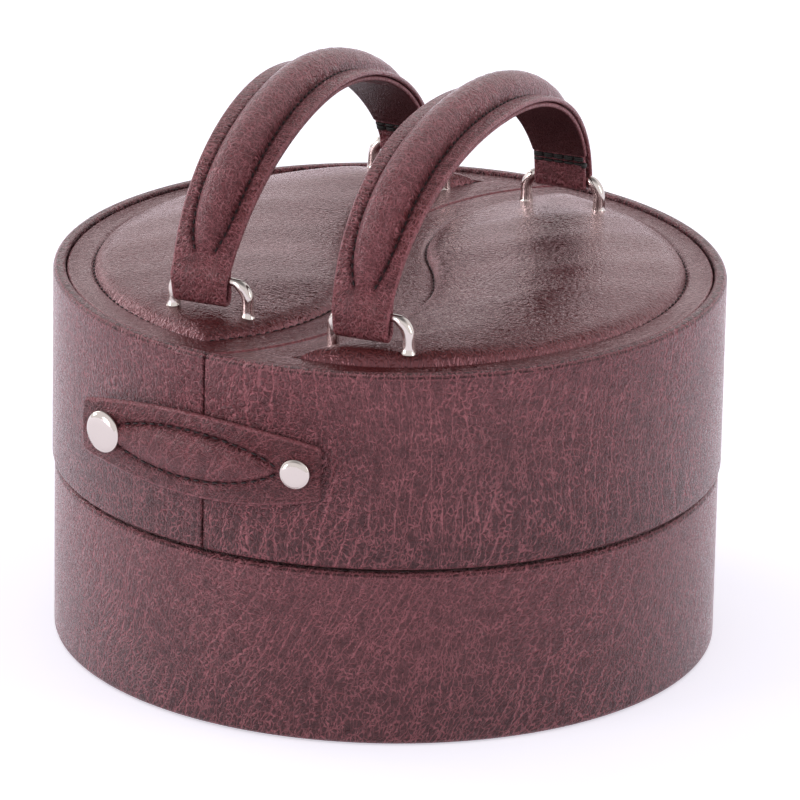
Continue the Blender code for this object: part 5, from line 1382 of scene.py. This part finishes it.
def closure_half(angle):
    """Half the strap's height: a parabola fullest midway between its ends, with small corners at both."""
    share = np.minimum(np.abs(angle - (LEFT_DEG + RIGHT_DEG) / 2) / ((RIGHT_DEG - LEFT_DEG) / 2), 1)
    swell = 1 - share ** 2
    half = (CLOSURE_END + (CLOSURE_MID - CLOSURE_END) * swell) / 2
    end = np.minimum(angle - LEFT_DEG, RIGHT_DEG - angle) * pi / 180 * LID_RADIUS
    inset = np.clip(1 - end / CLOSURE_CORNER, 0, 1)
    return half - CLOSURE_CORNER * (1 - np.sqrt(1 - inset ** 2))


def pad_half(angle):
    """Half the pad's height: a pointed oval whose left tip is under the press stud's cap."""
    share = np.abs(angle - (PAD_FROM + PAD_TO) / 2) / ((PAD_TO - PAD_FROM) / 2)
    return PAD_HALF * np.maximum(1 - share ** 2, 0) ** 0.72


def closure_grid():
    """Rounded slab bent round the drum: on its outer face the pad's dome, sunk along its stitched outline."""
    ends = CLOSURE_CORNER / LID_RADIUS * 180 / pi * (1 - np.cos(np.linspace(0, pi / 2, 8)))
    angle = np.concatenate([LEFT_DEG + ends, np.linspace(LEFT_DEG + ends[-1], RIGHT_DEG - ends[-1], 190)[1:-1],
                            (RIGHT_DEG - ends)[::-1]])
    half, pad = closure_half(angle)[:, None], pad_half(angle)[:, None]
    radius = CLOSURE_LEAF / 2
    face = np.linspace(-1, 1, 97)[None] * (half - radius)
    gap = np.abs(face) - pad
    within = np.maximum(1 - (face / np.maximum(pad, 1e-5)) ** 2, 0) ** 0.62
    dome = PAD_RISE * within * np.minimum(pad / PAD_HALF, 1) ** 0.8
    run = np.radians(angle)[:, None] * LID_RADIUS
    pull = 0.5 + 0.5 * np.cos(2 * pi * run / PAD_STITCH)
    seam = bell(gap - 0.0004, 0.0006) * np.minimum(pad / 0.001, 1)
    lip = 0.00030 * np.sin(pi * np.clip(gap / np.maximum(half - radius - pad, 1e-4), 0, 1))
    ripple = 0.00008 * np.sin(run * 900 + 3 * np.sin(face * 300))
    upper = CLOSURE_LEAF + dome + lip + ripple - seam * (0.00040 + 0.00020 * pull)
    # The stitched valley round the pad gets painted shade, the dome is a little paler and the edges are rubbed paler.
    across, out, wear_and_painted_light = strap_section(half, radius, face, upper, -0.45 * seam + 0.15 * within, 0.55, 11, 9)
    plan, outward = strap_line(angle)
    points = np.stack([plan[:, :1] + outward[:, :1] * out, plan[:, 1:] + outward[:, 1:] * out,
                       CLOSURE_HEIGHT + across], -1)
    lap = run_length(np.stack([across[100], out[100]], 1))
    return points, flat_map(run, lap[None]), wear_and_painted_light


def bent_beside_rivet(piece):
    """Bake the piece's place into its mesh. The ends of the bend beside the rivet are worked out but not used, and
    nothing is bent.
    """
    ends = [(*strap_line(np.array(angle))[0], CLOSURE_HEIGHT)
            for angle in (BEND_DEG - BEND_HALF_DEG, BEND_DEG + BEND_HALF_DEG)]
    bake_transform(piece)


CLOSURE_TONES = ((0.074, 0.0180, 0.0210), (0.098, 0.0210, 0.0225), (0.370, 0.145, 0.160))
CLOSURE_HIDE = leather("closure_hide", radians(35), 0.9, 1.1, CLOSURE_TONES, (0.28, 0.38), 0.70, 0.80)
closure = mesh_piece("closure_strap_hide", [closure_grid()], CLOSURE_HIDE, None, "burgundy_leather",
                     "closure_strap", "strap_fixed_end", ends=True)
bent_beside_rivet(closure)
for number, way in enumerate((-1, 1), 1):
    angle = np.linspace(PAD_FROM + 3.4, PAD_TO - 0.1, 160)
    plan, outward = strap_line(angle)
    low = plan + outward * (CLOSURE_LEAF - 0.00035)
    line = raised(low, CLOSURE_HEIGHT + way * (pad_half(angle) + 0.0004))
    bent_beside_rivet(stitches(f"closure_stitching_{number}", line, raised(outward, 0.0), PAD_STITCH, None))

# Fasteners: turned nickel caps. The press stud's cap is riveted through the strap over its socket, the smaller
# cap is a rivet right through the strap and the wall. Caps are (radius, dome, shank, depth).
SNAP_CAP = (0.0070, 0.0023, 0.0020, 0.0018)
RIVET_CAP = (0.0050, 0.0020, 0.0016, 0.0060)
SNAP_GAP, RIVET_GAP = 0.0004, 0.0003
SOCKET_RADIUS, SOCKET_MOUTH = 0.0042, 0.0027
STUD_NECK, STUD_HEAD, STUD_FLANGE = 0.0020, 0.0024, 0.0044


def cap_profile(radius, dome, shank, depth):
    """Half section of a cap: a flat shallow dome, a bevel, a rolled rim and a shank below."""
    shares = ((0, 1), (0.50, 0.97), (0.80, 0.80), (0.92, 0.55), (1, 0.42), (1, 0.10), (0.95, 0), (0.6, 0))
    return np.concatenate([softened([(radius * across, dome * up) for across, up in shares]),
                           [(shank, 0), (shank, -depth), (0, -depth)]])


def front_point(angle_deg, radius, height):
    """The place at that angle from the front, that far out and that high."""
    angle = radians(angle_deg)
    return np.array([radius * sin(angle), -radius * cos(angle), height])


stud_plan = strap_line(np.array(STUD_DEG))[0]
seat = np.array([*stud_plan, CLOSURE_HEIGHT])
stud_axis = seat - (0, HINGE_Y, CLOSURE_HEIGHT)
stud_axis /= np.linalg.norm(stud_axis)
cap_seat = seat + stud_axis * (CLOSURE_LEAF + SNAP_GAP)
turned_piece("press_stud_cap", cap_profile(*SNAP_CAP), cap_seat, stud_axis, "strap", "snap_cap", 72)

socket_ring = np.array([(SOCKET_MOUTH, 0.0002), (SOCKET_MOUTH + 0.0003, 0), (SOCKET_RADIUS - 0.0003, 0),
                        (SOCKET_RADIUS, 0.0003), (SOCKET_RADIUS, CLOSURE_LEAF), (SOCKET_MOUTH, CLOSURE_LEAF),
                        (SOCKET_MOUTH, 0.0012), (SOCKET_MOUTH - 0.0002, 0.0009), (SOCKET_MOUTH - 0.0002, 0.0006),
                        (SOCKET_MOUTH, 0.0002)])
turned_piece("press_stud_socket", socket_ring, seat, stud_axis, "strap", "snap_socket", 48, 35)

stud_ray = front_point(STUD_DEG, 1.0, 0.0)
wall_inner = LID_RADIUS - HIDE - FIT - WALL_BOARD
flange = STRAP_BACK - wall_inner
facing = np.hypot(*(stud_axis - stud_ray)[:2])
tip = np.hypot(*stud_plan) - FIT - STUD_HEAD * np.tan(np.arcsin(facing)) - wall_inner
stud_collar = flange + LEAF / 2
waist = (stud_collar + tip) / 2
stud_shape = np.concatenate([[(0, 0), (STUD_NECK, 0), (STUD_NECK, flange), (STUD_FLANGE, flange),
                              (STUD_FLANGE * 0.97, stud_collar - 0.0002), (STUD_FLANGE * 0.9, stud_collar),
                              (STUD_NECK, stud_collar)],
                             softened([(STUD_NECK, waist), (STUD_HEAD, (waist + tip) / 2), (STUD_HEAD * 0.8, tip),
                                       (0, tip)], 2)])
turned_piece("press_stud_post", stud_shape, front_point(STUD_DEG, wall_inner, CLOSURE_HEIGHT), stud_ray,
             "left_half", "snap_stud", 48, 35)
rivet_seat = front_point(RIVET_DEG, STRAP_BACK + CLOSURE_LEAF + RIVET_GAP, CLOSURE_HEIGHT)
turned_piece("strap_rivet_cap", cap_profile(*RIVET_CAP), rivet_seat, front_point(RIVET_DEG, 1.0, 0.0),
             "right_half", "strap_rivet", 72)
